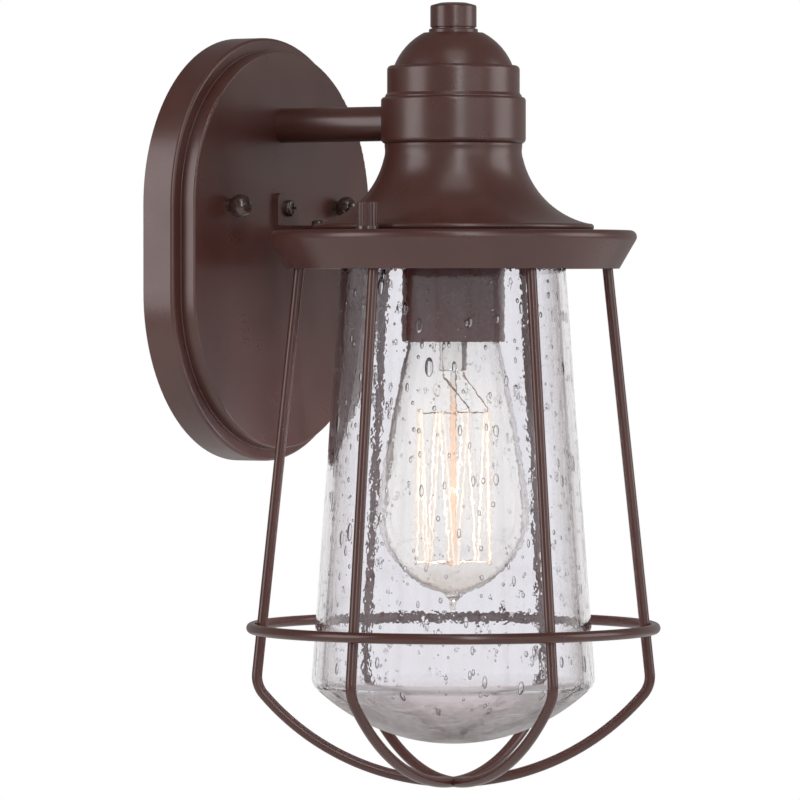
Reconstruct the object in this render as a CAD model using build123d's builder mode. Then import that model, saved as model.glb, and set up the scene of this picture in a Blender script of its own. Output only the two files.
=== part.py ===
# Outdoor wall lantern: a hooded head on a short arm, with a drop-down wire
# cage that carries a seeded glass shade around one filament lamp.
#
# Frame: millimetres, +Z up. The wall is the plane Y = 0 and the lantern
# stands out from it towards -Y. The origin is the centre of the mounting
# strap, on the wall. "Depth" is distance from the wall, and "height" is
# measured above the lower edge of the fitter pan.

import os
from math import atan, cos, radians, sin, sqrt

from build123d import *

os.makedirs("parts", exist_ok=True)

# ---------------------------------------------------------------- fits
fit = 0.05  # radial clearance of a fixed piece in its hole
running_fit = 0.08  # radial clearance of a piece that turns or slides

# ---------------------------------------------------------------- wall side
plate_width = 147.0
plate_height = 184.6
plate_drop = 18.5  # plate centre below the strap centre
plate_step_depth = 15.4
plate_shoulder = 5.7
plate_raise = 7.5
plate_wall = 1.6
plate_step_round = 1.6
plate_face_round = 0.9
plate_ledge = 0.7  # small rounded ledge round the foot of the raised face
plate_ledge_height = 0.8
plate_ledge_round = 0.35
plate_depth = plate_step_depth + plate_raise

gasket_width = 5.0
gasket_depth = 4.0

strap_thickness = 2.4
strap_width = 17.0
strap_height = 114.0
strap_span = 98.0
strap_corner = 4.0
box_screw_spacing = 88.9
box_slot_length = 14.0
box_slot_width = 4.8

stud_spacing = 82.55
stud_radius = 2.0
stud_nut_thickness = 3.2
stud_nut_flats = 8.0

ball_radius = 5.0
ball_stand = 5.5  # ball centre in front of the plate
ball_neck_radius = 3.3
ball_slot_width = 1.0
ball_slot_depth = 1.3
stud_grip = 4.6  # stud length inside the ball nut

ground_screw_height = 13.0  # above the strap centre
ground_screw_radius = 1.9
ground_head_radius = 3.4
ground_head_height = 2.2
ring_terminal_radius = 3.8
ring_terminal_thickness = 0.8

# ---------------------------------------------------------------- head
pan_edge_z = -27.0  # lower edge of the pan from the strap centre

pan_height = 16.4
pan_mouth_radius = 71.1
pan_corner_radius = 80.6  # where the skirt line meets the flat top
pan_corner_round = 2.8
pan_wall = 1.0
pan_plate_gap = 7.0  # from the plate's face to the pan's rim
axis_reach = plate_depth + pan_plate_gap + pan_corner_radius  # lantern axis from the wall

bell_height = 37.0
bell_wall = 1.2
bell_throat_radius = 29.3
bell_throat_height = 34.2  # above the pan top
bell_lip_radius = 29.5
bell_lip_height = 1.0
bell_neck_radius = 29.9
bell_neck_height = 30.4  # above the pan top
bell_foot_radius = 58.8
bell_foot_height = 2.7  # above the pan top
bell_flare_radius = 37.0
bell_bead_radius = 1.4

hub_height = 20.0
hub_radius = 31.0
hub_wall = 4.0
hub_floor = 1.6
hub_lower_round = 2.2
hub_upper_round = 1.6
hub_boss_radius = 8.2
hub_boss_seat = 24.0  # flat seat of the arm nut, from the lantern axis

cap_band_height = 13.5
cap_band_radius = 28.4
cap_foot_radius = 29.3
cap_wall = 1.8
cap_band_round = 1.9
cap_spigot_depth = 2.6
dome_radius = 27.3
dome_sink = 10.1  # dome centre below the band's top
dome_flat_height = 27.5  # above the hub's top edge
cove_round = 0.9

finial_foot_radius = 10.5
finial_foot_height = 1.7
finial_neck_radius = 9.3
finial_neck_height = 0.6
finial_radius = 9.9
finial_height = 12.9
finial_crown = 1.2

rod_radius = 4.85
rod_bore_radius = 3.4
rod_grip = 9.0  # rod length inside the finial
rod_seat = 3.0  # rod length inside the lampholder
rod_nut_flats = 14.0
rod_nut_thickness = 4.0

arm_height = 62.5
arm_radius = 7.5
arm_wall = 1.4
nipple_end = 1.0  # nipple thread that shows past each nut

# ---------------------------------------------------------------- bracket
bracket_width = 16.0
bracket_thickness = 2.4
bracket_tab_height = 16.7  # above the pan top
bracket_foot_clearance = 3.2  # from the bell's foot to the end of the bracket's foot
bracket_bend_round = 3.2
bracket_corner_round = 3.0
tab_screw_height = 10.1  # above the pan top
tab_screw_radius = 2.0
tab_head_radius = 3.65
foot_screw_inset = 7.5  # from the end of the bracket's foot
foot_screw_radius = 1.7
foot_head_radius = 3.0
screw_head_height = 2.4
screw_nut_thickness = 2.6
screw_nut_flats = 7.0
screw_tail = 0.9  # thread that shows past its nut
recess_width = 1.0
recess_depth = 1.2

# ---------------------------------------------------------------- shade
shade_top_radius = 48.2  # outside, level with the pan's lower edge
shade_taper = 0.072  # outward lean of the wall, per unit of drop
shade_wall = 3.0
shade_drop = 203.4
shade_dome_radius = 85.0
shade_shoulder_round = 6.0
shade_lip_radius = 53.0
shade_lip_thickness = 3.0
shade_lip_round = 0.9
seat_gasket_thickness = 1.0
head_gasket_thickness = 1.2

# ---------------------------------------------------------------- cage
wire_radius = 2.25
bar_count = 6
bar_first_angle = 32.0  # from straight ahead, towards +X
bar_top_radius = 66.0  # centreline, level with the pan's lower edge
bar_lean = 0.1046  # outward lean, per unit of drop
bar_bow_radius = 106.9
cage_clearance = 16.6  # from the shade's bottom down to the bars' centreline
bar_bend_radius = 12.0
ring_drop = 153.8
weld_sink = 0.1
top_ring_thickness = 2.4
top_ring_radius = 69.4
top_ring_bore = 49.3
cage_stud_circle = 67.2
cage_stud_radius = 2.0
cage_stud_hole_play = 0.3
cage_stud_grip = 8.4  # stud length inside the thumb nut
thumb_washer_radius = 5.0
thumb_washer_thickness = 1.3
thumb_nut_radius = 4.5
thumb_nut_height = 10.2
thumb_flute_count = 18
thumb_flute_radius = 0.45

# ---------------------------------------------------------------- socket
cup_radius = 22.0
cup_wall = 1.2
cup_drop = 31.3  # mouth below the pan's lower edge
holder_radius = 18.5
holder_height = 33.0
holder_floor = 5.0
screw_shell_wall = 0.4
screw_shell_height = 22.0
centre_contact_radius = 3.5
centre_contact_thickness = 0.8

# ---------------------------------------------------------------- lamp
lamp_cap_radius = 12.9
lamp_cap_height = 25.0
lamp_cap_wall = 0.4
lamp_insulator_height = 2.2
lamp_insulator_radius = 8.6
lamp_button_radius = 4.0
lamp_button_height = 1.0
lamp_wall = 0.9
lamp_radius = 32.5
lamp_shoulder_radius = 19.5  # level with the cup's mouth
lamp_widest_drop = 105.5
lamp_drop = 139.6
lamp_pip_length = 7.0
lamp_pip_radius = 5.0
lamp_pip_tip_radius = 1.4
stem_radius = 6.0
stem_drop = 44.0
stem_flare_height = 6.0
mast_radius = 1.4
mast_button_radius = 3.0
mast_button_height = 2.4
upper_spider_drop = 61.4
lower_spider_drop = 125.0
spider_radius = 15.6
spider_wire_radius = 0.35
filament_wire_radius = 0.3
filament_strand_pairs = 8
filament_first_angle = 14.0  # from straight ahead, towards +X
lamp_lead_spread = 4.5
lamp_lead_angle = 31.0

# ---------------------------------------------------------------- leads
lead_radius = 1.0
lead_side = 1.35  # line and neutral, either side of the middle
lead_rise = 0.8  # line and neutral above the arm's axis
ground_lead_fall = 2.3  # ground below the arm's axis
lead_drop_offset = 11.5  # the leads' way down, from the lantern axis
lead_hole_radius = 3.2
lead_front_bend = 7.0
lead_rear_bend = 6.5
lead_tail_bend = 12.0
ground_lead_bend = 10.0
lead_rear_depth = 9.5
lead_tail_side = 28.0
lead_tail_drop = 40.0
lead_holder_depth = 2.5

# ---------------------------------------------------------------- stack
pan_ceiling = pan_height - pan_wall
hub_base_height = pan_height + bell_height
hub_top_height = hub_base_height + hub_height
band_top_height = hub_top_height + cap_band_height
dome_centre_height = band_top_height - dome_sink
cap_top_height = hub_top_height + dome_flat_height
finial_top_height = cap_top_height + finial_height
cup_ceiling = pan_ceiling - cup_wall
holder_top = cup_ceiling - rod_nut_thickness
holder_base = holder_top - holder_height
contact_seat = holder_top - holder_floor
lamp_tip = contact_seat - centre_contact_thickness
lamp_cap_top = lamp_tip - lamp_button_height - lamp_insulator_height
lamp_cap_base = lamp_cap_top - lamp_cap_height
lip_top = pan_ceiling - head_gasket_thickness
lip_base = lip_top - shade_lip_thickness
top_ring_top = lip_base - seat_gasket_thickness
top_ring_base = top_ring_top - top_ring_thickness
plate_inner_face = plate_depth - plate_wall
bracket_foot_reach = axis_reach - bell_foot_radius - bracket_foot_clearance
foot_screw_depth = bracket_foot_reach - foot_screw_inset
bar_drop = shade_drop + cage_clearance


def radial_plane(angle):
    """Upright plane through the lantern axis: x outwards, y up.

    The angle is counted from straight ahead, towards +X.
    """
    turn = radians(angle)
    return Plane(
        origin=(0, -axis_reach, pan_edge_z),
        x_dir=(sin(turn), -cos(turn), 0),
        z_dir=(-cos(turn), -sin(turn), 0),
    )


def level(height):
    """Horizontal plane on the lantern axis, at a height above the pan's edge."""
    return Plane((0, -axis_reach, pan_edge_z + height))


def depth(distance):
    """Plane parallel to the wall: x along +X, y up, extruding away from it."""
    return Plane.XZ.offset(distance)


head_section = radial_plane(90)
head_axis = Axis((0, -axis_reach, pan_edge_z), (0, 0, 1))


def turned(*corners):
    """Half section of a turned piece, from (radius, height, rounding) corners."""
    with BuildSketch(head_section) as section:
        with BuildLine():
            FilletPolyline(
                *[(radius, height) for radius, height, _ in corners],
                radius=[rounding for _, _, rounding in corners],
                close=True,
            )
        make_face()
    return section.sketch


def ring(inner, outer, base, top):
    """Half section of a plain ring or disc."""
    return turned((inner, base, 0), (outer, base, 0), (outer, top, 0), (inner, top, 0))


def save(piece, label):
    piece.part.label = label
    export_step(piece.part, f"parts/{label}.step")


def stadium(width, height):
    """Upright slot outline with round ends, inside a sketch."""
    return SlotOverall(height, width, rotation=90)


# ================================================================ wall plate
arm_z = pan_edge_z + arm_height
tab_screw_z = pan_edge_z + pan_height + tab_screw_height
stud_points = [(-stud_spacing / 2, 0), (stud_spacing / 2, 0)]

with BuildPart() as backplate:
    with BuildSketch(depth(0)):
        with Locations((0, -plate_drop)):
            stadium(plate_width, plate_height)
    extrude(amount=plate_step_depth)
    fillet(backplate.edges().group_by(Axis.Y)[0], radius=plate_step_round)
    ledge_inset = 2 * (plate_shoulder - plate_ledge)
    with BuildSketch(depth(0)):
        with Locations((0, -plate_drop)):
            stadium(plate_width - ledge_inset, plate_height - ledge_inset)
    extrude(amount=plate_step_depth + plate_ledge_height)
    fillet(backplate.edges().group_by(Axis.Y)[0], radius=plate_ledge_round)
    with BuildSketch(depth(0)):
        with Locations((0, -plate_drop)):
            stadium(plate_width - 2 * plate_shoulder, plate_height - 2 * plate_shoulder)
    extrude(amount=plate_depth)
    fillet(backplate.edges().group_by(Axis.Y)[0], radius=plate_face_round)
    with BuildSketch(depth(0)):
        with Locations((0, -plate_drop)):
            stadium(plate_width - 2 * plate_wall, plate_height - 2 * plate_wall)
    extrude(amount=plate_step_depth - plate_wall, mode=Mode.SUBTRACT)
    raised_inset = 2 * (plate_shoulder + plate_wall)
    with BuildSketch(depth(0)):
        with Locations((0, -plate_drop)):
            stadium(plate_width - raised_inset, plate_height - raised_inset)
    extrude(amount=plate_inner_face, mode=Mode.SUBTRACT)
    with BuildSketch(depth(0)):
        with Locations(*stud_points):
            Circle(stud_radius + fit)
        with Locations((0, arm_z)):
            Circle(rod_radius + fit)
        with Locations((0, tab_screw_z)):
            Circle(tab_screw_radius + fit)
    extrude(amount=plate_depth, mode=Mode.SUBTRACT)
save(backplate, "backplate")

with BuildPart() as wall_gasket:
    gasket_inset = 2 * (plate_wall + fit)
    with BuildSketch(depth(0)):
        with Locations((0, -plate_drop)):
            stadium(plate_width - gasket_inset, plate_height - gasket_inset)
            stadium_hole = 2 * gasket_width + gasket_inset
            SlotOverall(
                plate_height - stadium_hole,
                plate_width - stadium_hole,
                rotation=90,
                mode=Mode.SUBTRACT,
            )
    extrude(amount=gasket_depth)
save(wall_gasket, "wall_gasket")

# ================================================================ strap
with BuildPart() as mounting_strap:
    with BuildSketch(depth(0)):
        RectangleRounded(strap_width, strap_height, strap_corner)
        RectangleRounded(strap_span, strap_width, strap_corner)
        with Locations((0, -box_screw_spacing / 2), (0, box_screw_spacing / 2)):
            SlotOverall(box_slot_length, box_slot_width, rotation=90, mode=Mode.SUBTRACT)
        with Locations(*stud_points):
            Circle(stud_radius + fit, mode=Mode.SUBTRACT)
        with Locations((0, ground_screw_height)):
            Circle(ground_screw_radius + fit, mode=Mode.SUBTRACT)
    extrude(amount=strap_thickness)
save(mounting_strap, "mounting_strap")

with BuildPart() as strap_studs:
    with BuildSketch(depth(0)):
        with Locations(*stud_points):
            Circle(stud_radius)
    extrude(amount=plate_depth + stud_grip)
save(strap_studs, "strap_studs")

with BuildPart() as stud_nuts:
    with BuildSketch(depth(strap_thickness)):
        with Locations(*stud_points):
            RegularPolygon(stud_nut_flats / 2, 6, major_radius=False)
            Circle(stud_radius + fit, mode=Mode.SUBTRACT)
    extrude(amount=stud_nut_thickness)
save(stud_nuts, "stud_nuts")

ball_front = plate_depth + ball_stand + ball_radius
for side, (stud_x, stud_z) in zip(("left", "right"), stud_points):
    with BuildPart() as ball_nut:
        with BuildSketch(depth(plate_depth)):
            with Locations((stud_x, stud_z)):
                Circle(ball_neck_radius)
        extrude(amount=ball_stand)
        with Locations((stud_x, -(plate_depth + ball_stand), stud_z)):
            Sphere(ball_radius)
        with BuildSketch(depth(plate_depth)):
            with Locations((stud_x, stud_z)):
                Circle(stud_radius + running_fit)
        extrude(amount=stud_grip + fit, mode=Mode.SUBTRACT)
        with BuildSketch(depth(ball_front - ball_slot_depth)):
            with Locations((stud_x, stud_z)):
                Rectangle(2 * ball_radius, ball_slot_width)
        extrude(amount=ball_slot_depth, mode=Mode.SUBTRACT)
    save(ball_nut, f"ball_nut_{side}")

with BuildPart() as ground_screw:
    head_seat = strap_thickness + ring_terminal_thickness
    with BuildSketch(depth(0)):
        with Locations((0, ground_screw_height)):
            Circle(ground_screw_radius)
    extrude(amount=head_seat)
    with BuildSketch(depth(head_seat)):
        with Locations((0, ground_screw_height)):
            Circle(ground_head_radius)
    extrude(amount=ground_head_height)
    chamfer(ground_screw.edges().group_by(Axis.Y)[0], length=0.5)
    with BuildSketch(depth(head_seat + ground_head_height - recess_depth)):
        with Locations((0, ground_screw_height)):
            Rectangle(2 * ground_head_radius, recess_width)
    extrude(amount=recess_depth, mode=Mode.SUBTRACT)
save(ground_screw, "ground_screw")

# ================================================================ pan and bell
lead_drop_point = (0, lead_drop_offset)
with BuildPart() as fitter_pan:
    with BuildSketch(head_section):
        with BuildLine():
            FilletPolyline(
                (rod_radius + fit, pan_height),
                (pan_corner_radius, pan_height),
                (pan_mouth_radius, 0),
                radius=pan_corner_round,
            )
            offset(amount=pan_wall, side=Side.RIGHT)
        make_face()
    revolve(axis=head_axis)
    with BuildSketch(level(pan_ceiling)):
        with Locations(lead_drop_point):
            Circle(lead_hole_radius)
        with Locations((-cage_stud_circle, 0), (cage_stud_circle, 0)):
            Circle(cage_stud_radius + cage_stud_hole_play)
        with Locations((0, axis_reach - foot_screw_depth)):
            Circle(foot_screw_radius + fit)
    extrude(amount=pan_wall, mode=Mode.SUBTRACT)
save(fitter_pan, "fitter_pan")

with BuildPart() as bell:
    with BuildSketch(head_section):
        with BuildLine():
            bell_lip = Line(
                (bell_lip_radius, hub_base_height),
                (bell_lip_radius, hub_base_height - bell_lip_height),
            )
            bell_throat = ThreePointArc(
                bell_lip @ 1,
                (bell_throat_radius, pan_height + bell_throat_height),
                (bell_neck_radius, pan_height + bell_neck_height),
            )
            bell_flare = RadiusArc(
                bell_throat @ 1,
                (bell_foot_radius, pan_height + bell_foot_height),
                -bell_flare_radius,
            )
            offset(amount=bell_wall, side=Side.RIGHT)
        make_face()
        with Locations((bell_foot_radius, pan_height + bell_bead_radius)):
            Circle(bell_bead_radius)
    revolve(axis=head_axis)
save(bell, "bell")

# ================================================================ hub and cap
hub_inner = hub_radius - hub_wall
spigot_radius = hub_inner - fit
with BuildPart() as arm_hub:
    revolve(
        turned(
            (rod_radius + fit, hub_base_height, 0),
            (hub_radius, hub_base_height, hub_lower_round),
            (hub_radius, hub_top_height, hub_upper_round),
            (hub_inner, hub_top_height, 0),
            (hub_inner, hub_base_height + hub_floor, 0),
            (rod_radius + fit, hub_base_height + hub_floor, 0),
        ),
        axis=head_axis,
    )
    with BuildSketch(depth(axis_reach - hub_radius + hub_wall / 2)):
        with Locations((0, arm_z)):
            Circle(hub_boss_radius)
    extrude(amount=hub_radius - hub_wall / 2 - hub_boss_seat)
    with BuildSketch(depth(axis_reach - hub_radius)):
        with Locations((0, arm_z)):
            Circle(rod_radius + fit)
    extrude(amount=hub_radius - hub_boss_seat, mode=Mode.SUBTRACT)
    with BuildSketch(level(hub_base_height)):
        with Locations(lead_drop_point):
            Circle(lead_hole_radius)
    extrude(amount=hub_floor, mode=Mode.SUBTRACT)
save(arm_hub, "arm_hub")

dome_foot_radius = sqrt(dome_radius**2 - dome_sink**2)
dome_flat_radius = sqrt(dome_radius**2 - (cap_top_height - dome_centre_height) ** 2)
with BuildPart() as dome_cap:
    with BuildSketch(head_section):
        with BuildLine():
            cap_foot = FilletPolyline(
                (0, hub_top_height),
                (cap_foot_radius, hub_top_height),
                (cap_foot_radius, hub_top_height + cove_round / 2),
                (cap_band_radius, hub_top_height + 2 * cove_round),
                (cap_band_radius, band_top_height),
                (dome_foot_radius, band_top_height),
                radius=[0, 0, cove_round, cap_band_round],
            )
            dome = RadiusArc(
                cap_foot @ 1,
                (dome_flat_radius, cap_top_height),
                -dome_radius,
            )
            Polyline(dome @ 1, (0, cap_top_height), cap_foot @ 0)
        make_face()
    revolve(axis=head_axis)
    with BuildSketch(head_section):
        with BuildLine():
            inner_dome = RadiusArc(
                (dome_foot_radius - cap_wall, band_top_height - cap_wall),
                (0, cap_top_height - cap_wall),
                -(dome_radius - cap_wall),
            )
            Polyline(
                inner_dome @ 1,
                (0, hub_top_height),
                (spigot_radius - cap_wall, hub_top_height),
                (spigot_radius - cap_wall, band_top_height - cap_wall),
                inner_dome @ 0,
            )
        make_face()
    revolve(axis=head_axis, mode=Mode.SUBTRACT)
    revolve(
        ring(
            spigot_radius - cap_wall,
            spigot_radius,
            hub_top_height - cap_spigot_depth,
            hub_top_height + cove_round / 2,
        ),
        axis=head_axis,
    )
    with BuildSketch(level(band_top_height)):
        Circle(rod_radius + fit)
    extrude(amount=cap_top_height - band_top_height, mode=Mode.SUBTRACT)
save(dome_cap, "dome_cap")

finial_base = cap_top_height
finial_neck_base = finial_base + finial_foot_height
with BuildPart() as finial:
    with BuildSketch(head_section):
        with BuildLine():
            side_line = FilletPolyline(
                (0, finial_base),
                (finial_foot_radius, finial_base),
                (finial_foot_radius, finial_neck_base),
                (finial_neck_radius, finial_neck_base),
                (finial_neck_radius, finial_neck_base + finial_neck_height),
                (finial_radius, finial_neck_base + finial_neck_height),
                (finial_radius, finial_top_height - 2 * finial_crown),
                radius=[0, 0.6, 0, 0, 0.4],
            )
            crown = FilletPolyline(
                side_line @ 1,
                (finial_radius, finial_top_height - finial_crown),
                (finial_radius * 0.55, finial_top_height),
                (0, finial_top_height),
                radius=[1.0, 4.0],
            )
            Line(crown @ 1, side_line @ 0)
        make_face()
    revolve(axis=head_axis)
    with BuildSketch(level(finial_base)):
        Circle(rod_radius + fit)
    extrude(amount=rod_grip + fit, mode=Mode.SUBTRACT)
save(finial, "finial")

rod_base = holder_top - rod_seat
with BuildPart() as centre_rod:
    revolve(ring(rod_bore_radius, rod_radius, rod_base, cap_top_height + rod_grip), axis=head_axis)
save(centre_rod, "centre_rod")

for label, nut_base in (
    ("hub_nut", hub_base_height + hub_floor),
    ("cup_nut", holder_top),
):
    with BuildPart() as rod_nut:
        with BuildSketch(level(nut_base)):
            RegularPolygon(rod_nut_flats / 2, 6, major_radius=False, rotation=30)
            Circle(rod_radius + fit, mode=Mode.SUBTRACT)
        extrude(amount=rod_nut_thickness)
    save(rod_nut, label)

# ================================================================ arm
with BuildPart() as arm_tube:
    with BuildSketch(depth(plate_depth)):
        with Locations((0, arm_z)):
            Circle(arm_radius)
            Circle(arm_radius - arm_wall, mode=Mode.SUBTRACT)
    extrude(amount=axis_reach - plate_depth)
    with BuildSketch(level(arm_height - 2 * arm_radius)):
        Circle(hub_radius + fit)
    extrude(amount=4 * arm_radius, mode=Mode.SUBTRACT)
save(arm_tube, "arm_tube")

nipple_rear = plate_inner_face - rod_nut_thickness - nipple_end
nipple_front = axis_reach - hub_boss_seat + rod_nut_thickness + nipple_end
with BuildPart() as arm_nipple:
    with BuildSketch(depth(nipple_rear)):
        with Locations((0, arm_z)):
            Circle(rod_radius)
            Circle(rod_bore_radius, mode=Mode.SUBTRACT)
    extrude(amount=nipple_front - nipple_rear)
save(arm_nipple, "arm_nipple")

for label, nut_depth in (
    ("arm_nut_rear", plate_inner_face - rod_nut_thickness),
    ("arm_nut_front", axis_reach - hub_boss_seat),
):
    with BuildPart() as arm_nut:
        with BuildSketch(depth(nut_depth)):
            with Locations((0, arm_z)):
                RegularPolygon(rod_nut_flats / 2, 6, major_radius=False)
                Circle(rod_radius + fit, mode=Mode.SUBTRACT)
        extrude(amount=rod_nut_thickness)
    save(arm_nut, label)

# ================================================================ bracket
pan_top_z = pan_edge_z + pan_height
with BuildPart() as support_bracket:
    with BuildSketch(Plane.YZ):
        with BuildLine():
            FilletPolyline(
                (-plate_depth, pan_top_z + bracket_tab_height),
                (-plate_depth, pan_top_z),
                (-bracket_foot_reach, pan_top_z),
                radius=bracket_bend_round,
            )
            offset(amount=bracket_thickness, side=Side.RIGHT)
        make_face()
    extrude(amount=bracket_width / 2, both=True)
    tab_corners = support_bracket.edges().filter_by(Axis.Y).group_by(Axis.Z)[-1]
    foot_corners = support_bracket.edges().filter_by(Axis.Z).group_by(Axis.Y)[0]
    fillet(tab_corners + foot_corners, radius=bracket_corner_round)
    with BuildSketch(depth(plate_depth)):
        with Locations((0, tab_screw_z)):
            Circle(tab_screw_radius + fit)
    extrude(amount=bracket_thickness, mode=Mode.SUBTRACT)
    with BuildSketch(level(pan_height)):
        with Locations((0, axis_reach - foot_screw_depth)):
            Circle(foot_screw_radius + fit)
    extrude(amount=bracket_thickness, mode=Mode.SUBTRACT)
save(support_bracket, "support_bracket")


def cross_recess(plane, point, head_radius):
    """Cross recess cut from a plane at the recess's floor, inside a part."""
    with BuildSketch(plane) as cross:
        with Locations(point):
            Rectangle(1.3 * head_radius, recess_width)
            Rectangle(recess_width, 1.3 * head_radius)
    extrude(cross.sketch, amount=recess_depth, mode=Mode.SUBTRACT)


tab_face = plate_depth + bracket_thickness
tab_point = (0, tab_screw_z)
tab_nut_depth = plate_inner_face - screw_nut_thickness
with BuildPart() as tab_screw:
    with BuildSketch(depth(tab_nut_depth - screw_tail)):
        with Locations(tab_point):
            Circle(tab_screw_radius)
    extrude(amount=tab_face - tab_nut_depth + screw_tail)
    with BuildSketch(depth(tab_face)):
        with Locations(tab_point):
            Circle(tab_head_radius)
    extrude(amount=screw_head_height)
    fillet(tab_screw.edges().group_by(Axis.Y)[0], radius=screw_head_height / 2)
    cross_recess(depth(tab_face + screw_head_height - recess_depth), tab_point, tab_head_radius)
save(tab_screw, "tab_screw")

with BuildPart() as tab_screw_nut:
    with BuildSketch(depth(tab_nut_depth)):
        with Locations(tab_point):
            RegularPolygon(screw_nut_flats / 2, 6, major_radius=False)
            Circle(tab_screw_radius + fit, mode=Mode.SUBTRACT)
    extrude(amount=screw_nut_thickness)
save(tab_screw_nut, "tab_screw_nut")

foot_face = pan_height + bracket_thickness
foot_point = (0, axis_reach - foot_screw_depth)
foot_nut_height = pan_ceiling - screw_nut_thickness
with BuildPart() as foot_screw:
    with BuildSketch(level(foot_nut_height - screw_tail)):
        with Locations(foot_point):
            Circle(foot_screw_radius)
    extrude(amount=foot_face - foot_nut_height + screw_tail)
    with BuildSketch(level(foot_face)):
        with Locations(foot_point):
            Circle(foot_head_radius)
    extrude(amount=screw_head_height)
    fillet(foot_screw.edges().group_by(Axis.Z)[-1], radius=screw_head_height / 2)
    cross_recess(level(foot_face + screw_head_height - recess_depth), foot_point, foot_head_radius)
save(foot_screw, "foot_screw")

with BuildPart() as foot_screw_nut:
    with BuildSketch(level(foot_nut_height)):
        with Locations(foot_point):
            RegularPolygon(screw_nut_flats / 2, 6, major_radius=False)
            Circle(foot_screw_radius + fit, mode=Mode.SUBTRACT)
    extrude(amount=screw_nut_thickness)
save(foot_screw_nut, "foot_screw_nut")

# ================================================================ glass shade


def shade_radius(height):
    """Outside radius of the shade's straight wall."""
    return shade_top_radius - shade_taper * height


def shade_outline(inset, top):
    """Half section of the shade's outside, moved inwards by an inset."""
    bottom = -shade_drop + inset
    dome = shade_dome_radius - inset
    dome_centre = bottom + dome
    reach = shade_radius(-shade_drop) - inset
    rim = dome_centre - sqrt(dome**2 - reach**2)
    wall_reach = shade_radius(rim) - inset
    with BuildSketch(head_section) as outline:
        with BuildLine():
            floor_arc = RadiusArc((0, bottom), (wall_reach, rim), -dome)
            Polyline(
                floor_arc @ 1,
                (shade_radius(top) - inset, top),
                (0, top),
                floor_arc @ 0,
            )
        make_face()
        corner = outline.vertices().sort_by(Axis.X)[-1]
        fillet(corner, radius=shade_shoulder_round - inset)
    return outline.sketch


with BuildPart() as glass_shade:
    revolve(shade_outline(0, lip_top), axis=head_axis)
    revolve(
        turned(
            (0, lip_base, 0),
            (shade_lip_radius, lip_base, shade_lip_round),
            (shade_lip_radius, lip_top, shade_lip_round),
            (0, lip_top, 0),
        ),
        axis=head_axis,
    )
    revolve(shade_outline(shade_wall, lip_top), axis=head_axis, mode=Mode.SUBTRACT)
save(glass_shade, "glass_shade")

with BuildPart() as seat_gasket:
    revolve(ring(top_ring_bore, shade_lip_radius, top_ring_top, lip_base), axis=head_axis)
save(seat_gasket, "seat_gasket")

with BuildPart() as head_gasket:
    revolve(
        ring(shade_radius(lip_top) - shade_wall, shade_lip_radius, lip_top, pan_ceiling),
        axis=head_axis,
    )
save(head_gasket, "head_gasket")

# ================================================================ cage
bar_lean_angle = atan(bar_lean)
bar_down = Vector(sin(bar_lean_angle), -cos(bar_lean_angle))
bar_inward = Vector(-cos(bar_lean_angle), -sin(bar_lean_angle))
bar_start_height = top_ring_base + wire_radius
bar_start = Vector(bar_top_radius - bar_lean * bar_start_height, bar_start_height)
bow_centre = Vector(0, bar_bow_radius - bar_drop)

# The bend's centre lies one bend radius inside the straight leg, and one bend
# radius inside the bow.
bend_offset = bar_start + bar_inward * bar_bend_radius - bow_centre
along = bend_offset.dot(bar_down)
bend_reach = (bar_bow_radius - bar_bend_radius) ** 2 - bend_offset.dot(bend_offset) + along**2
leg_length = sqrt(bend_reach) - along
leg_end = bar_start + bar_down * leg_length
bend_centre = leg_end + bar_inward * bar_bend_radius
bow_start = bow_centre + (bend_centre - bow_centre).normalized() * bar_bow_radius
bow_end = Vector(0, -bar_drop)


def arc_middle(centre, start, finish, radius):
    """Middle point of the short arc between two points on a circle."""
    return centre + (start - centre + finish - centre).normalized() * radius


bend_middle = arc_middle(bend_centre, leg_end, bow_start, bar_bend_radius)
bow_middle = arc_middle(bow_centre, bow_start, bow_end, bar_bow_radius)
bar_points = [bar_start, leg_end, bend_middle, bow_start, bow_middle, bow_end]
for index in range(bar_count):
    bar_angle = bar_first_angle + index * 360 / bar_count
    half_share = 180 / bar_count
    with BuildPart() as cage_bar:
        path = [radial_plane(bar_angle).from_local_coords(point) for point in bar_points]
        with BuildLine() as bar_path:
            Line(*path[:2])
            ThreePointArc(*path[1:4])
            ThreePointArc(*path[3:])
        with BuildSketch(bar_path.line ^ 0):
            Circle(wire_radius)
        sweep()
        for edge_angle, keep in (
            (bar_angle - half_share, Keep.BOTTOM),
            (bar_angle + half_share, Keep.TOP),
        ):
            split(bisect_by=radial_plane(edge_angle), keep=keep)
        with BuildSketch(level(top_ring_base)) as above_ring:
            Circle(top_ring_radius)
        extrude(above_ring.sketch, amount=pan_height, mode=Mode.SUBTRACT)
    save(cage_bar, f"cage_bar_{index + 1}")

bar_radius_at_ring = bar_top_radius + bar_lean * ring_drop
ring_radius = bar_radius_at_ring + (2 * wire_radius - weld_sink) / cos(bar_lean_angle)
with BuildPart() as cage_ring:
    with BuildSketch(head_section):
        with Locations((ring_radius, -ring_drop)):
            Circle(wire_radius)
    revolve(axis=head_axis)
save(cage_ring, "cage_ring")

with BuildPart() as cage_top_ring:
    revolve(ring(top_ring_bore, top_ring_radius, top_ring_base, top_ring_top), axis=head_axis)
save(cage_top_ring, "cage_top_ring")

washer_top = pan_height + thumb_washer_thickness
cage_stud_points = [(-cage_stud_circle, 0), (cage_stud_circle, 0)]
with BuildPart() as cage_studs:
    with BuildSketch(level(top_ring_top)):
        with Locations(*cage_stud_points):
            Circle(cage_stud_radius)
    extrude(amount=washer_top + cage_stud_grip - top_ring_top)
save(cage_studs, "cage_studs")

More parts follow.
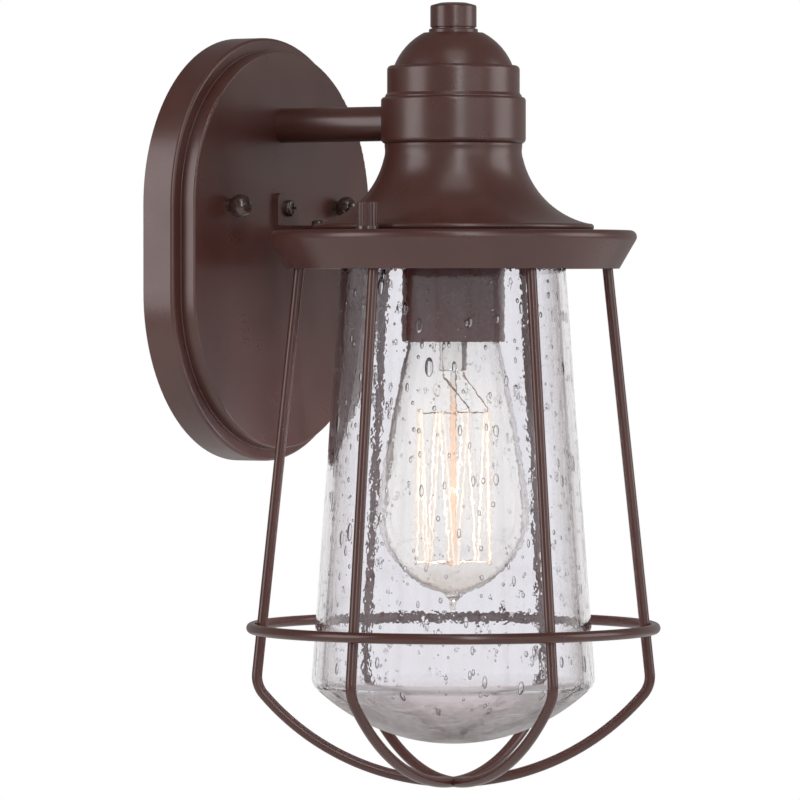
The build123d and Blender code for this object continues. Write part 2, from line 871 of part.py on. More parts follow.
with BuildPart() as thumb_washers:
    with BuildSketch(level(pan_height)):
        with Locations(*cage_stud_points):
            Circle(thumb_washer_radius)
            Circle(cage_stud_radius + cage_stud_hole_play, mode=Mode.SUBTRACT)
    extrude(amount=thumb_washer_thickness)
save(thumb_washers, "thumb_washers")

for side, point in zip(("left", "right"), cage_stud_points):
    with BuildPart() as thumb_nut:
        with BuildSketch(level(washer_top)):
            with Locations(point):
                Circle(thumb_nut_radius)
                with PolarLocations(thumb_nut_radius, thumb_flute_count):
                    Circle(thumb_flute_radius, mode=Mode.SUBTRACT)
        extrude(amount=thumb_nut_height)
        chamfer(
            thumb_nut.edges().filter_by(GeomType.CIRCLE).group_by(Axis.Z)[-1],
            length=thumb_flute_radius / 2,
        )
        with BuildSketch(level(washer_top)):
            with Locations(point):
                Circle(cage_stud_radius + running_fit)
        extrude(amount=cage_stud_grip + fit, mode=Mode.SUBTRACT)
    save(thumb_nut, f"thumb_nut_{side}")

# ================================================================ socket
with BuildPart() as socket_cup:
    cup_inner = cup_radius - cup_wall
    revolve(
        turned(
            (rod_radius + fit, cup_ceiling, 0),
            (cup_inner, cup_ceiling, 0),
            (cup_inner, -cup_drop, 0),
            (cup_radius, -cup_drop, 0),
            (cup_radius, pan_ceiling, 1.0),
            (rod_radius + fit, pan_ceiling, 0),
        ),
        axis=head_axis,
    )
    with BuildSketch(level(cup_ceiling)):
        with Locations(lead_drop_point):
            Circle(lead_hole_radius)
    extrude(amount=cup_wall, mode=Mode.SUBTRACT)
save(socket_cup, "socket_cup")

shell_inner = lamp_cap_radius + running_fit
shell_outer = shell_inner + screw_shell_wall
lead_points = [(-lead_side, lead_drop_offset), (lead_side, lead_drop_offset)]
with BuildPart() as lampholder:
    with BuildSketch(level(holder_base)):
        Circle(holder_radius)
    extrude(amount=holder_height)
    fillet(lampholder.edges().filter_by(GeomType.CIRCLE), radius=1.0)
    with BuildSketch(level(holder_base)):
        Circle(shell_outer + fit)
    extrude(amount=holder_height - holder_floor, mode=Mode.SUBTRACT)
    with BuildSketch(level(rod_base)):
        Circle(rod_radius + fit)
    extrude(amount=rod_seat, mode=Mode.SUBTRACT)
    with BuildSketch(level(holder_top - lead_holder_depth)):
        with Locations(*lead_points):
            Circle(lead_radius + fit)
    extrude(amount=lead_holder_depth, mode=Mode.SUBTRACT)
save(lampholder, "lampholder")

with BuildPart() as screw_shell:
    shell_top = contact_seat - centre_contact_thickness
    revolve(
        ring(shell_inner, shell_outer, shell_top - screw_shell_height, shell_top),
        axis=head_axis,
    )
save(screw_shell, "screw_shell")

with BuildPart() as centre_contact:
    revolve(ring(0, centre_contact_radius, lamp_tip, contact_seat), axis=head_axis)
save(centre_contact, "centre_contact")

# ================================================================ lamp
with BuildPart() as lamp_cap:
    revolve(
        turned(
            (lamp_cap_radius - lamp_cap_wall, lamp_cap_base, 0),
            (lamp_cap_radius, lamp_cap_base, 0),
            (lamp_cap_radius, lamp_cap_top - 1, 0),
            (lamp_cap_radius - 1, lamp_cap_top, 0),
            (lamp_insulator_radius, lamp_cap_top, 0),
            (lamp_insulator_radius, lamp_cap_top - lamp_cap_wall, 0),
            (lamp_cap_radius - lamp_cap_wall, lamp_cap_top - 1 - lamp_cap_wall, 0),
        ),
        axis=head_axis,
    )
save(lamp_cap, "lamp_cap")

with BuildPart() as lamp_insulator:
    revolve(
        turned(
            (0, lamp_cap_top, 0),
            (lamp_insulator_radius, lamp_cap_top, 0),
            (lamp_button_radius, lamp_cap_top + lamp_insulator_height, 0),
            (0, lamp_cap_top + lamp_insulator_height, 0),
        ),
        axis=head_axis,
    )
    with BuildSketch(level(lamp_cap_top)):
        Circle(lamp_insulator_radius)
    extrude(amount=-lamp_cap_wall)
save(lamp_insulator, "lamp_insulator")

with BuildPart() as lamp_button:
    button_base = lamp_cap_top + lamp_insulator_height
    revolve(
        turned(
            (0, button_base, 0),
            (lamp_button_radius, button_base, 0),
            (lamp_button_radius - lamp_button_height / 2, lamp_tip, 0),
            (0, lamp_tip, 0),
        ),
        axis=head_axis,
    )
save(lamp_button, "lamp_button")


def lamp_outline(inset):
    """Half section of the lamp's glass, moved inwards by an inset."""
    neck = lamp_cap_radius - lamp_cap_wall - fit - inset
    with BuildSketch(head_section) as outline:
        with BuildLine():
            neck_line = Line((neck, lamp_cap_base + 3), (neck, lamp_cap_base))
            shoulder = Spline(
                neck_line @ 1,
                (lamp_shoulder_radius - inset, -cup_drop),
                tangents=[(0, -1), (0.22, -1)],
            )
            flank = Spline(
                shoulder @ 1,
                (lamp_radius - inset, -lamp_widest_drop),
                tangents=[(0.22, -1), (0, -1)],
                tangent_scalars=[1.0, 0.45],
            )
            end = Spline(
                flank @ 1,
                (0, -lamp_drop + inset),
                tangents=[(0, -1), (-1, 0)],
                tangent_scalars=[1.15, 0.9],
            )
            Polyline(end @ 1, (0, lamp_cap_base + 3), neck_line @ 0)
        make_face()
    return outline.sketch


with BuildPart() as lamp_glass:
    revolve(lamp_outline(0), axis=head_axis)
    revolve(
        turned(
            (0, -lamp_drop + lamp_wall, 0),
            (0, -lamp_drop - lamp_pip_length, 0),
            (lamp_pip_tip_radius, -lamp_drop - lamp_pip_length, lamp_pip_tip_radius / 2),
            (lamp_pip_tip_radius, -lamp_drop - 0.6 * lamp_pip_length, 0),
            (lamp_pip_radius, -lamp_drop, 0),
            (lamp_pip_radius, -lamp_drop + lamp_wall, 0),
        ),
        axis=head_axis,
    )
    revolve(lamp_outline(lamp_wall), axis=head_axis, mode=Mode.SUBTRACT)
save(lamp_glass, "lamp_glass")

with BuildPart() as lamp_stem:
    stem_outer = lamp_cap_radius - lamp_cap_wall - 2 * fit - lamp_wall
    revolve(
        turned(
            (0, lamp_cap_base + 3, 0),
            (stem_outer, lamp_cap_base + 3, 0),
            (stem_outer, lamp_cap_base + 2, 0),
            (stem_radius, lamp_cap_base + 3 - stem_flare_height, 2.0),
            (stem_radius, -stem_drop, 1.5),
            (mast_radius, -stem_drop, 0),
            (mast_radius, -lower_spider_drop, 0),
            (mast_button_radius, -lower_spider_drop, 0.4),
            (mast_button_radius, -lower_spider_drop - mast_button_height, 1.0),
            (0, -lower_spider_drop - mast_button_height, 0),
        ),
        axis=head_axis,
    )
save(lamp_stem, "lamp_stem")


def polar_point(radius, angle, height):
    """Point about the lantern axis, in the lantern's own frame."""
    turn = radians(angle)
    return Vector(radius * sin(turn), -axis_reach - radius * cos(turn), pan_edge_z + height)


def wire_between(start, finish, radius):
    """Straight wire with round ends, inside a part."""
    run = finish - start
    with BuildSketch(Plane(origin=start, z_dir=run)) as section:
        Circle(radius)
    extrude(section.sketch, amount=run.length)
    with Locations(start, finish):
        Sphere(radius)


strand_step = 360 / filament_strand_pairs
top_angles = [filament_first_angle + index * strand_step for index in range(filament_strand_pairs)]
low_angles = [angle + strand_step / 2 for angle in top_angles[:-1]]
hook_radius = spider_radius - filament_wire_radius - spider_wire_radius - fit
spider_hub = spider_wire_radius + fit
with BuildPart() as spider_wires:
    for angle in top_angles[1:-1]:
        wire_between(
            polar_point(mast_radius + spider_hub, angle, -upper_spider_drop),
            polar_point(hook_radius, angle, -upper_spider_drop),
            spider_wire_radius,
        )
    for angle in low_angles:
        low_level = -lower_spider_drop - mast_button_height / 2
        wire_between(
            polar_point(mast_button_radius + spider_hub, angle, low_level),
            polar_point(hook_radius, angle, low_level),
            spider_wire_radius,
        )
save(spider_wires, "spider_wires")

with BuildPart() as filament:
    for index, low_angle in enumerate(low_angles):
        low = polar_point(spider_radius, low_angle, -lower_spider_drop - mast_button_height / 2)
        for high_angle in top_angles[index : index + 2]:
            high = polar_point(spider_radius, high_angle, -upper_spider_drop)
            wire_between(high, low, filament_wire_radius)
save(filament, "filament")

lead_start_drop = stem_drop + spider_hub
lead_end_drop = upper_spider_drop - filament_wire_radius - spider_hub
with BuildPart() as lamp_leads:
    for start_angle, end_angle in (
        (lamp_lead_angle, top_angles[0]),
        (lamp_lead_angle + 180, top_angles[-1]),
    ):
        wire_between(
            polar_point(lamp_lead_spread, start_angle, -lead_start_drop),
            polar_point(spider_radius, end_angle, -lead_end_drop),
            spider_wire_radius,
        )
save(lamp_leads, "lamp_leads")

# ================================================================ leads


def lead(points, radii):
    """Insulated wire along straight runs joined by tangent arcs, inside a part."""
    with BuildLine() as route:
        FilletPolyline(*points, radius=radii)
    with BuildSketch(route.line ^ 0) as section:
        Circle(lead_radius)
    sweep(section.sketch, path=route.line)
    return sum(edge.length for edge in route.edges())


lead_z = arm_z + lead_rise
lead_front_depth = axis_reach - lead_drop_offset
lead_end_z = pan_edge_z + holder_top - lead_holder_depth
lead_bends = [lead_tail_bend, lead_rear_bend, lead_front_bend]
for label, side in (("line_lead", -1), ("neutral_lead", 1)):
    lead_x = side * lead_side
    tail_x = side * lead_tail_side
    with BuildPart() as supply_lead:
        lead_length = lead(
            [
                (tail_x, -lead_rear_depth, lead_z - lead_tail_drop),
                (tail_x, -lead_rear_depth, lead_z),
                (lead_x, -lead_rear_depth, lead_z),
                (lead_x, -lead_front_depth, lead_z),
                (lead_x, -lead_front_depth, lead_end_z),
            ],
            lead_bends,
        )
    save(supply_lead, label)
    print(label, "length", round(lead_length, 1), "bends", lead_bends)

ground_z = arm_z - ground_lead_fall
ground_run_depth = strap_thickness + lead_radius
ground_end_z = ground_screw_height + ground_head_radius + fit
with BuildPart() as ground_lead:
    ground_length = lead(
        [
            (0, -ground_run_depth, ground_end_z),
            (0, -ground_run_depth, ground_z),
            (0, -nipple_front, ground_z),
        ],
        [ground_lead_bend],
    )
    with BuildSketch(depth(strap_thickness)):
        with Locations((0, ground_screw_height)):
            Circle(ring_terminal_radius)
            Circle(ground_screw_radius + fit, mode=Mode.SUBTRACT)
    extrude(amount=ring_terminal_thickness)
save(ground_lead, "ground_lead")
print("ground_lead length", round(ground_length, 1), "bend", ground_lead_bend)
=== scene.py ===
from math import atan, atan2, cos, pi, radians, sin, sqrt

import bmesh
import bpy
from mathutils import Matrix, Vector


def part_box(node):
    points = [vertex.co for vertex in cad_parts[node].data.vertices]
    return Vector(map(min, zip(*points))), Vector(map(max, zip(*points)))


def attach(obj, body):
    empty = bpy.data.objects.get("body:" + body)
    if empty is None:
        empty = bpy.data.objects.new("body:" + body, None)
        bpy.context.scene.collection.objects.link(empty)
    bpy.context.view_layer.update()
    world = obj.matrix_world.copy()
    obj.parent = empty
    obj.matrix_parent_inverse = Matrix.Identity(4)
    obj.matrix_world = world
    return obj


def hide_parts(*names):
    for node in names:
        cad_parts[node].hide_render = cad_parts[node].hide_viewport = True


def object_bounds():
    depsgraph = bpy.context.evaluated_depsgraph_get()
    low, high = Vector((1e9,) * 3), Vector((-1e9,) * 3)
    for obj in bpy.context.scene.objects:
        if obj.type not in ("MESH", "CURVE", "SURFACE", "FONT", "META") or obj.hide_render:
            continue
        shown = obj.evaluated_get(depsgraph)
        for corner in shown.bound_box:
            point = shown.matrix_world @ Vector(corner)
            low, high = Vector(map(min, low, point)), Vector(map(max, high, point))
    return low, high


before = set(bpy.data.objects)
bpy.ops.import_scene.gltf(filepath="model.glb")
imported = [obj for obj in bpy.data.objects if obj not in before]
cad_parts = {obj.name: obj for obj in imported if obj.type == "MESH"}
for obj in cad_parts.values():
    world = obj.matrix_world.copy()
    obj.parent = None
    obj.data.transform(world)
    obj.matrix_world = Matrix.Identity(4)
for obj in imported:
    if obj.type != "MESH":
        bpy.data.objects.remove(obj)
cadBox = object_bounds()
mm = 0.001

# Places that every piece shares: the lantern's upright axis and the lower edge of its pan.
shadeLow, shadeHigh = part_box("glass_shade")
axisX = round((shadeLow.x + shadeHigh.x) / 2, 4)
axisY = round((shadeLow.y + shadeHigh.y) / 2, 4)
panEdge = round(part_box("fitter_pan")[0].z, 5)
print("frame loaded:", len(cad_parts), "nodes")


# Small helpers for node trees and meshes
def newGroup(name, kind, inputs, outputs):
    # each input has a kind of socket and a first value, each output only a kind
    tree = bpy.data.node_groups.new(name, kind)
    for label, (socketKind, value) in inputs.items():
        socket = tree.interface.new_socket(label, in_out="INPUT", socket_type="NodeSocket" + socketKind)
        if value is not None:
            socket.default_value = value
    for label, socketKind in outputs.items():
        tree.interface.new_socket(label, in_out="OUTPUT", socket_type="NodeSocket" + socketKind)
    return tree, addNode(tree, "NodeGroupInput").outputs


def addNode(tree, kind, values=None, **settings):
    node = tree.nodes.new(kind)
    for key, value in settings.items():
        setattr(node, key, value)
    for key, value in (values or {}).items():
        if isinstance(value, bpy.types.NodeSocket):
            tree.links.new(value, node.inputs[key])
        else:
            node.inputs[key].default_value = value
    return node


def mathNode(tree, operation, first, second=0.0, third=None):
    values = {0: first, 1: second}
    if third is not None:
        values[2] = third
    return addNode(tree, "ShaderNodeMath", values, operation=operation).outputs[0]


def mixColour(tree, factor, first, second):
    return addNode(tree, "ShaderNodeMix", {0: factor, 6: first, 7: second}, data_type="RGBA").outputs[2]


def mixValue(tree, factor, first, second):
    return addNode(tree, "ShaderNodeMix", {0: factor, 2: first, 3: second}).outputs[0]


def smoothRange(tree, value, low, high, newLow=0.0, newHigh=1.0):
    values = {"Value": value, "From Min": low, "From Max": high, "To Min": newLow, "To Max": newHigh}
    return addNode(tree, "ShaderNodeMapRange", values, interpolation_type="SMOOTHSTEP").outputs[0]


def noiseNode(tree, vector, scale, detail, roughness=0.5, distortion=0.0):
    values = {
        "Vector": vector,
        "Scale": scale,
        "Detail": detail,
        "Roughness": roughness,
        "Distortion": distortion,
    }
    return addNode(tree, "ShaderNodeTexNoise", values).outputs["Fac"]


def realOutput(tree, geometry, material):
    # ends a geometry tree: makes the instances real and smooth and gives them their material
    real = addNode(tree, "GeometryNodeRealizeInstances", {0: geometry})
    soft = addNode(tree, "GeometryNodeSetShadeSmooth", {0: real.outputs[0]})
    painted = addNode(tree, "GeometryNodeSetMaterial", {0: soft.outputs[0], "Material": material})
    addNode(tree, "NodeGroupOutput", {0: painted.outputs[0]})


def colourOf(rgb):
    return (*rgb, 1.0)


def meshObject(name, build, sharpAngle=40.0, smooth=True):
    data = bpy.data.meshes.new(name)
    build.to_mesh(data)
    build.free()
    if smooth:
        data.shade_smooth()
        data.set_sharp_from_angle(angle=radians(sharpAngle))
    piece = bpy.data.objects.new(name, data)
    bpy.context.scene.collection.objects.link(piece)
    return piece


def axisPoint(radius, height, angle=0.0):
    # radius, height and degrees round the lantern's axis; the height is above the pan's edge
    turn = radians(angle)
    return Vector((axisX + radius * mm * sin(turn), axisY - radius * mm * cos(turn), panEdge + height * mm))


def turnedPiece(name, outline, segments, sharpAngle=40.0, closed=True):
    # the outline runs up the outside and down the inside, in millimetres
    build = bmesh.new()
    angles = [360 * i / segments for i in range(segments)]
    rows = []
    for radius, height in outline:
        if radius < 1e-4:
            rows.append([build.verts.new(axisPoint(0, height))])
        else:
            rows.append([build.verts.new(axisPoint(radius, height, angle)) for angle in angles])
    pairs = list(zip(rows, rows[1:]))
    if closed and len(rows[0]) > 1:
        pairs.append((rows[-1], rows[0]))
    for lower, upper in pairs:
        for i in range(segments):
            j = (i + 1) % segments
            if len(lower) == 1:
                build.faces.new((lower[0], upper[j], upper[i]))
            elif len(upper) == 1:
                build.faces.new((lower[i], lower[j], upper[0]))
            else:
                build.faces.new((lower[i], lower[j], upper[j], upper[i]))
    if closed and build.calc_volume(signed=True) < 0:
        bmesh.ops.reverse_faces(build, faces=build.faces[:])
    return meshObject(name, build, sharpAngle)


def arcPoints(centre, radius, start, end, steps):
    angles = [start + (end - start) * i / steps for i in range(steps + 1)]
    return [(centre[0] + radius * cos(angle), centre[1] + radius * sin(angle)) for angle in angles]


def curvePoints(start, end, startWay, endWay, steps):
    # a smooth run between two outline points that leaves and arrives along the given ways
    points = []
    for i in range(steps + 1):
        t = i / steps
        a, b, c, d = 2 * t**3 - 3 * t**2 + 1, t**3 - 2 * t**2 + t, 3 * t**2 - 2 * t**3, t**3 - t**2
        points.append(tuple(a * start[k] + b * startWay[k] + c * end[k] + d * endWay[k] for k in (0, 1)))
    return points


def dressPiece(piece, material, body, slotName, *replaced):
    # a grown piece already has its material
    if material is not None:
        piece.data.materials.clear()
        piece.data.materials.append(material)
    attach(piece, body)
    if replaced:
        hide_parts(*replaced)
    return piece


def grownPiece(holder, tree, values):
    # runs a geometry tree on the holder and keeps the result as its plain mesh
    modifier = holder.modifiers.new(tree.name, "NODES")
    modifier.node_group = tree
    for item in tree.interface.items_tree:
        if item.item_type == "SOCKET" and item.in_out == "INPUT" and item.name in values:
            modifier[item.identifier] = values[item.name]
    bpy.context.view_layer.update()
    evaluated = holder.evaluated_get(bpy.context.evaluated_depsgraph_get())
    grown = bpy.data.meshes.new_from_object(evaluated)
    holder.modifiers.remove(modifier)
    holder.data = grown
    return holder


# Shared surface effects
def buildColourDrift():
    # soft patches of a second colour
    tree, given = newGroup(
        "colourDrift",
        "ShaderNodeTree",
        {
            "Vector": ("Vector", None),
            "Colour": ("Color", colourOf((0.1, 0.1, 0.1))),
            "Second Colour": ("Color", colourOf((0.2, 0.2, 0.2))),
            "Scale": ("Float", 30.0),
            "Amount": ("Float", 0.5),
        },
        {"Colour": "Color"},
    )
    cloud = noiseNode(tree, given["Vector"], given["Scale"], 4.0, 0.55)
    share = smoothRange(tree, cloud, 0.36, 0.64)
    share = mathNode(tree, "MULTIPLY", share, given["Amount"])
    colour = mixColour(tree, share, given["Colour"], given["Second Colour"])
    addNode(tree, "NodeGroupOutput", {"Colour": colour})
    return tree


def buildPaintGrain():
    # the faint orange peel and dust of sprayed paint, and how it changes the gloss
    tree, given = newGroup(
        "paintGrain",
        "ShaderNodeTree",
        {
            "Vector": ("Vector", None),
            "Scale": ("Float", 700.0),
            "Roughness": ("Float", 0.4),
            "Spread": ("Float", 0.08),
        },
        {"Height": "Float", "Roughness": "Float"},
    )
    peel = noiseNode(tree, given["Vector"], given["Scale"], 3.0, 0.6)
    coarse = mathNode(tree, "MULTIPLY", given["Scale"], 0.07)
    clouds = noiseNode(tree, given["Vector"], coarse, 3.0)
    swing = mathNode(tree, "MULTIPLY", mathNode(tree, "SUBTRACT", clouds, 0.5), given["Spread"])
    fine = mathNode(tree, "MULTIPLY", mathNode(tree, "SUBTRACT", peel, 0.5), given["Spread"])
    sheen = mathNode(tree, "ADD", mathNode(tree, "MULTIPLY_ADD", swing, 2.0, given["Roughness"]), fine)
    height = mathNode(tree, "ADD", peel, mathNode(tree, "MULTIPLY", clouds, 1.5))
    addNode(tree, "NodeGroupOutput", {"Height": height, "Roughness": sheen})
    return tree


def drawnOut(tree, vector, share):
    # the place with its height scaled, so that a pattern is drawn out upwards, and the height itself
    parts = addNode(tree, "ShaderNodeSeparateXYZ", {0: vector}).outputs
    tall = mathNode(tree, "MULTIPLY", parts[2], share)
    return addNode(tree, "ShaderNodeCombineXYZ", {0: parts[0], 1: parts[1], 2: tall}).outputs[0], parts[2]


def buildGlassRipple():
    # soft upright waves and small dimples of blown glass
    tree, given = newGroup(
        "glassRipple",
        "ShaderNodeTree",
        {
            "Vector": ("Vector", None),
            "Wave Scale": ("Float", 60.0),
            "Dimple Scale": ("Float", 260.0),
            "Dimples": ("Float", 0.15),
            "Stretch": ("Float", 0.3),
        },
        {"Height": "Float"},
    )
    drawn = drawnOut(tree, given["Vector"], given["Stretch"])[0]
    waves = noiseNode(tree, drawn, given["Wave Scale"], 2.0)
    dimples = noiseNode(tree, given["Vector"], given["Dimple Scale"], 1.0)
    relief = mathNode(tree, "MULTIPLY_ADD", dimples, given["Dimples"], waves)
    addNode(tree, "NodeGroupOutput", {"Height": relief})
    return tree


def buildGlassBody():
    # upright streaks of drawn glass, a swirl pattern, and a mask of the glass below a height, where the
    # finish paints shade or glow and may make it hazy
    tree, given = newGroup(
        "glassBody",
        "ShaderNodeTree",
        {
            "Vector": ("Vector", None),
            "Streak Scale": ("Float", 260.0),
            "Swirl Scale": ("Float", 45.0),
            "Low Top": ("Float", 0.0),
            "Low Fade": ("Float", 0.004),
        },
        {"Streaks": "Float", "Clouds": "Float", "Swirl": "Float"},
    )
    drawn, height = drawnOut(tree, given["Vector"], 0.035)
    lines = noiseNode(tree, drawn, given["Streak Scale"], 3.0, 0.6)
    streaks = smoothRange(tree, lines, 0.38, 0.66)
    swirl = noiseNode(tree, given["Vector"], given["Swirl Scale"], 3.0, 0.55, 1.6)
    swirl = smoothRange(tree, swirl, 0.36, 0.64)
    below = mathNode(tree, "SUBTRACT", given["Low Top"], height)
    share = mathNode(tree, "DIVIDE", below, given["Low Fade"])
    clouds = addNode(tree, "ShaderNodeClamp", {0: share}).outputs[0]
    addNode(tree, "NodeGroupOutput", {"Streaks": streaks, "Clouds": clouds, "Swirl": swirl})
    return tree


colourDrift = buildColourDrift()
paintGrain = buildPaintGrain()
glassRipple = buildGlassRipple()
glassBody = buildGlassBody()

# Solid finishes: patch and grain are noise scales, and depth is the grain's height in metres.
insulation = {"patch": 80.0, "roughness": 0.55, "spread": 0.10, "grain": 1200.0, "depth": 0.00002}
finishes = {
    "bronzePaint": {
        "colour": (0.051, 0.0165, 0.0125), "second": (0.062, 0.023, 0.018), "patch": 26.0,
        "roughness": 0.30, "spread": 0.07, "grain": 650.0, "depth": 0.00002, "specular": 0.6,
    },
    # painted light: a brighter, redder copy of the paint for the cup, which gets less light inside the glass
    "cupPaintWithPaintedLight": {
        "colour": (0.080, 0.022, 0.019), "second": (0.092, 0.029, 0.026), "patch": 40.0,
        "roughness": 0.26, "spread": 0.07, "grain": 650.0, "depth": 0.00002, "specular": 0.5,
    },
    "wirePaint": {
        "colour": (0.052, 0.0170, 0.013), "second": (0.061, 0.023, 0.018), "patch": 26.0,
        "roughness": 0.24, "spread": 0.06, "grain": 650.0, "depth": 0.00002, "specular": 0.52,
    },
    "bronzeFastener": {
        "colour": (0.034, 0.014, 0.010), "second": (0.048, 0.023, 0.017), "patch": 160.0,
        "roughness": 0.2, "spread": 0.06, "grain": 900.0, "depth": 0.00001, "specular": 0.75,
    },
    "zincPlate": {
        "colour": (0.52, 0.52, 0.51), "second": (0.40, 0.41, 0.43), "patch": 120.0,
        "roughness": 0.32, "spread": 0.20, "grain": 700.0, "depth": 0.00001, "metallic": 1.0,
    },
    "greenPlate": {
        "colour": (0.02, 0.20, 0.05), "second": (0.03, 0.27, 0.08), "patch": 200.0,
        "roughness": 0.30, "spread": 0.12, "grain": 900.0, "depth": 0.00001,
    },
    "gasketRubber": {
        "colour": (0.012, 0.012, 0.012), "second": (0.024, 0.023, 0.022), "patch": 90.0,
        "roughness": 0.75, "spread": 0.12, "grain": 1500.0, "depth": 0.00004,
    },
    "porcelain": {
        "colour": (0.80, 0.78, 0.72), "second": (0.74, 0.70, 0.62), "patch": 60.0,
        "roughness": 0.14, "spread": 0.06, "grain": 300.0, "depth": 0.00001,
    },
    "blackGlass": {
        "colour": (0.006, 0.006, 0.009), "second": (0.015, 0.014, 0.018), "patch": 200.0,
        "roughness": 0.08, "spread": 0.04, "grain": 400.0, "depth": 0.000005,
    },
    "socketBrass": {
        "colour": (0.62, 0.41, 0.14), "second": (0.50, 0.31, 0.10), "patch": 110.0,
        "roughness": 0.26, "spread": 0.20, "grain": 800.0, "depth": 0.00001, "metallic": 1.0,
    },
    "lampCapMetal": {
        "colour": (0.60, 0.55, 0.45), "second": (0.45, 0.38, 0.28), "patch": 90.0,
        "roughness": 0.24, "spread": 0.20, "grain": 800.0, "depth": 0.00001, "metallic": 1.0,
    },
    "solder": {
        "colour": (0.48, 0.48, 0.49), "second": (0.33, 0.33, 0.35), "patch": 600.0,
        "roughness": 0.38, "spread": 0.25, "grain": 1500.0, "depth": 0.00003, "metallic": 1.0,
    },
    "supportWire": {
        "colour": (0.46, 0.30, 0.22), "second": (0.30, 0.18, 0.13), "patch": 150.0,
        "roughness": 0.35, "spread": 0.10, "grain": 900.0, "depth": 0.000005, "metallic": 1.0,
    },
    "blackInsulation": {**insulation, "colour": (0.010, 0.010, 0.011), "second": (0.020, 0.019, 0.019)},
    "whiteInsulation": {**insulation, "colour": (0.72, 0.71, 0.67), "second": (0.62, 0.60, 0.55)},
    "greenInsulation": {**insulation, "colour": (0.015, 0.18, 0.05), "second": (0.03, 0.24, 0.08)},
}


def newMaterial(name):
    # an empty material, its tree and its place on the piece
    material = bpy.data.materials.new(name)
    material.use_nodes = True
    tree = material.node_tree
    tree.nodes.clear()
    return material, tree, addNode(tree, "ShaderNodeTexCoord").outputs["Object"]


def setSurface(tree, surface):
    output = addNode(tree, "ShaderNodeOutputMaterial")
    tree.links.new(surface.outputs[0], output.inputs["Surface"])


def patchyColour(tree, place, colour, second, scale, amount=0.5):
    # a colour that drifts towards a second one in soft patches
    values = {
        "Vector": place,
        "Colour": colourOf(colour),
        "Second Colour": colourOf(second),
        "Scale": scale,
        "Amount": amount,
    }
    return addNode(tree, "ShaderNodeGroup", values, node_tree=colourDrift).outputs["Colour"]


def solidFinish(name, sizes):
    material, tree, place = newMaterial(name)
    texture = {
        "Vector": place,
        "Scale": sizes["grain"],
        "Roughness": sizes["roughness"],
        "Spread": sizes["spread"],
    }
    grain = addNode(tree, "ShaderNodeGroup", texture, node_tree=paintGrain).outputs
    relief = {"Strength": 0.6, "Distance": sizes["depth"], "Height": grain["Height"]}
    looks = {
        "Base Color": patchyColour(tree, place, sizes["colour"], sizes["second"], sizes["patch"], 1.0),
        "Roughness": grain["Roughness"],
        "Normal": addNode(tree, "ShaderNodeBump", relief).outputs["Normal"],
        "Metallic": sizes.get("metallic", 0.0),
        "Specular IOR Level": sizes.get("specular", 0.5),
    }
    setSurface(tree, addNode(tree, "ShaderNodeBsdfPrincipled", looks))
    return material


materials = {name: solidFinish(name, sizes) for name, sizes in finishes.items()}

